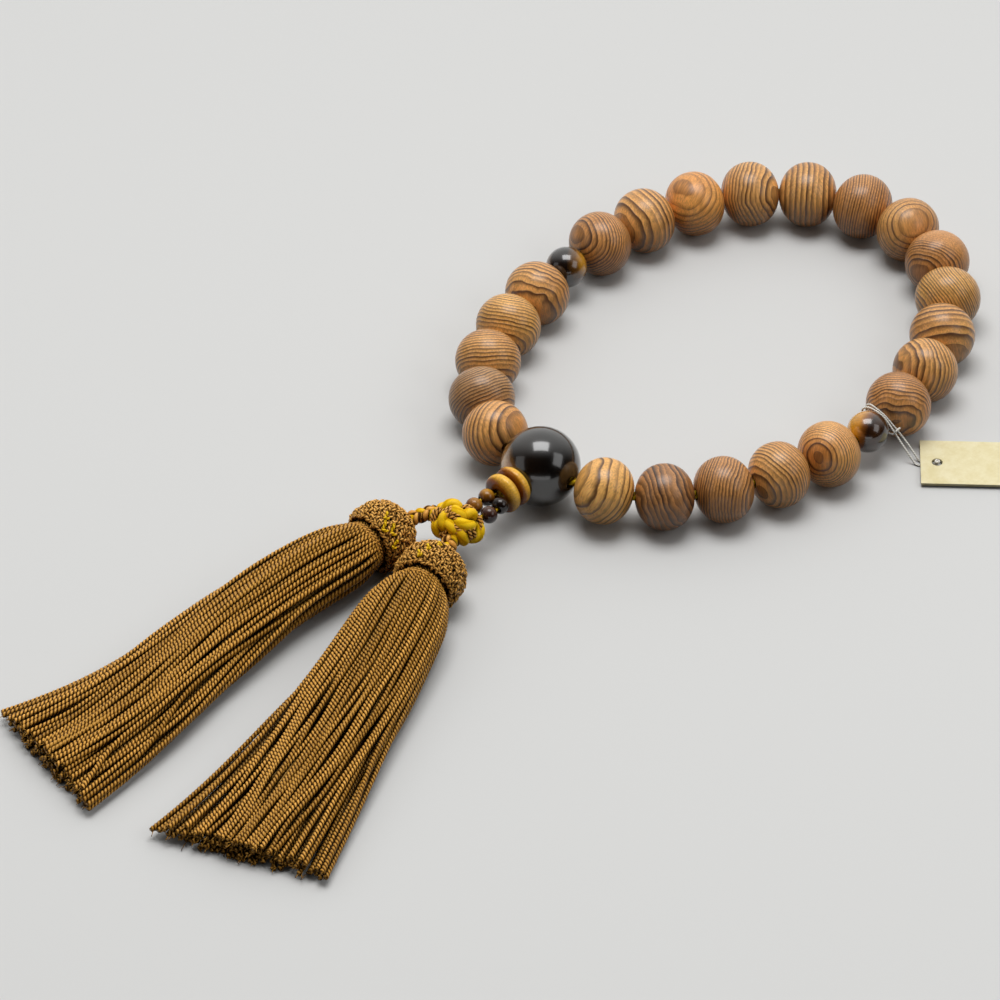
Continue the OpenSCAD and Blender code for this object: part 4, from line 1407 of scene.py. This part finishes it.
@dataclass(frozen=True)
class Studio:
    """The display: camera, pale floor, soft lamps and a plain world. Distances in metres, angles in degrees."""

    distance: float = 1.47419
    target: tuple[float, float, float] = (-0.05473, 0.00475, 0.0)
    roll: float = 1.3375
    lens: float = 296.777
    sensor: float = 36.0
    floor_radii: tuple[float, ...] = (0.00001, 0.2, 3.0)
    paper: PaperFloor = PaperFloor()
    lamp_distance: float = 0.9
    lamps: tuple[Softbox, ...] = (
        Softbox("key_softbox", 0.0, 0.5, 0.62, 0.46, 5.4),
        Softbox("right_softbox", 0.42, 0.17, 0.42, 0.55, 1.5),
        Softbox("left_softbox", -0.52, 0.05, 0.45, 0.6, 0.6),
        Softbox("front_strip", 0.0, -0.3, 0.9, 0.16, 1.1),
    )
    ceiling: tuple[float, float, float] = (0.6, 0.51, 0.62)  # where the room is brightest
    room: str = "F6F6F4"

    def build_camera(self) -> None:
        """Set the camera."""
        right, up, out = front_axes()
        c, s = math.cos(math.radians(self.roll)), math.sin(math.radians(self.roll))
        data = bpy.data.cameras.new("camera")
        data.lens, data.sensor_width = self.lens, self.sensor
        data.clip_start, data.clip_end = 0.01, 20.0
        camera = bpy.data.objects.new("camera", data)
        bpy.context.scene.collection.objects.link(camera)
        matrix = Matrix(np.column_stack([c * right + s * up, c * up - s * right, out]).tolist()).to_4x4()
        matrix.translation = Vector(self.target) + Vector(out) * self.distance
        camera.matrix_world = matrix
        bpy.context.scene.camera = camera

    def build_floor(self) -> None:
        """Make the pale floor, which keeps the object's shadow."""
        shell = Shell()
        angle = full_turn(64)
        circle = np.column_stack([np.cos(angle), np.sin(angle), np.zeros(len(angle))])
        rings = np.array(self.floor_radii)[:, None, None] / MM * circle
        shell.add_rings(rings, capped=False)
        floor = shell.build("floor", self.paper.make("matt_paper_floor"))
        floor.data.flip_normals()

    def build_lamp(self, box: Softbox) -> None:
        """Add a lamp."""
        axes = front_axes()
        face = seen(box.across, box.up)
        out = Vector(2 * float(face @ axes[2]) * face - axes[2])
        data = bpy.data.lights.new(box.name, "AREA")
        data.shape, data.size, data.size_y = "RECTANGLE", box.width, box.height
        data.energy = box.level * math.pi * box.width * box.height
        lamp = bpy.data.objects.new(box.name, data)
        bpy.context.scene.collection.objects.link(lamp)
        high = out.cross(Vector(axes[0])).normalized()
        turn = Matrix((high.cross(out), high, out)).transposed().to_4x4()
        lamp.matrix_world = Matrix.Translation(Vector(self.target) + out * self.lamp_distance) @ turn

    def build_world(self) -> None:
        """Make the room: pale above and behind the object, dark in front."""
        world = bpy.data.worlds.new("studio")
        bpy.context.scene.world = world
        world.use_nodes = True
        tree = world.node_tree
        tree.nodes.clear()
        direction = add_node(tree, "TexCoord", {}).outputs["Generated"]
        upward = {"operation": "DOT_PRODUCT", 0: direction, 1: self.ceiling}
        height = add_node(tree, "VectorMath", upward).outputs["Value"]
        level = {"interpolation_type": "SMOOTHSTEP", 0: height, 1: 0.15, 2: 1.0, 3: 0.0, 4: 1.05}
        strength = add_node(tree, "MapRange", level).outputs[0]
        light = add_node(tree, "Background", {"Color": linear(self.room), "Strength": strength})
        add_node(tree, "OutputWorld", {"Surface": light.outputs[0]})

    def build(self) -> None:
        """Build the studio."""
        self.build_camera()
        self.build_floor()
        for box in self.lamps:
            self.build_lamp(box)
        self.build_world()
        bpy.context.scene.view_settings.view_transform = "Standard"
        log.info("studio")


LEFT_TASSEL = Tassel(
    "left", length=80.4, width=32.0, start_width=13.8, spread=1.8, bend=-9.9, bulge=-0.8, wave=-1.5, drift=1.7, seed=1,
    yellow_at=((10.6, -0.2, 0.1), (11.6, 0.0, 0.3), (10.0, 0.3, 0.5), (11.4, -0.55, -0.35)),
)
RIGHT_TASSEL = Tassel(
    "right", length=75.5, width=34.8, start_width=16.6, spread=1.72, bend=5.4, bulge=1.3, wave=0.0, drift=0.0, seed=14,
    yellow_at=((9.4, 0.5, 0.62), (11.3, 0.62, 0.76), (7.4, 0.3, 0.42)),
)


def main() -> None:
    """Build the mala, piece by piece."""
    logging.basicConfig(level=logging.INFO, format="%(message)s")
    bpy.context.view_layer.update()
    for part in (
        Studio(), Tag(), Stringing(), WoodenBeads(), StoneBeads(), Knot(),
        Plait("left"), Plait("right"), LEFT_TASSEL, RIGHT_TASSEL,
    ):
        part.build()


if __name__ == "__main__":
    main()
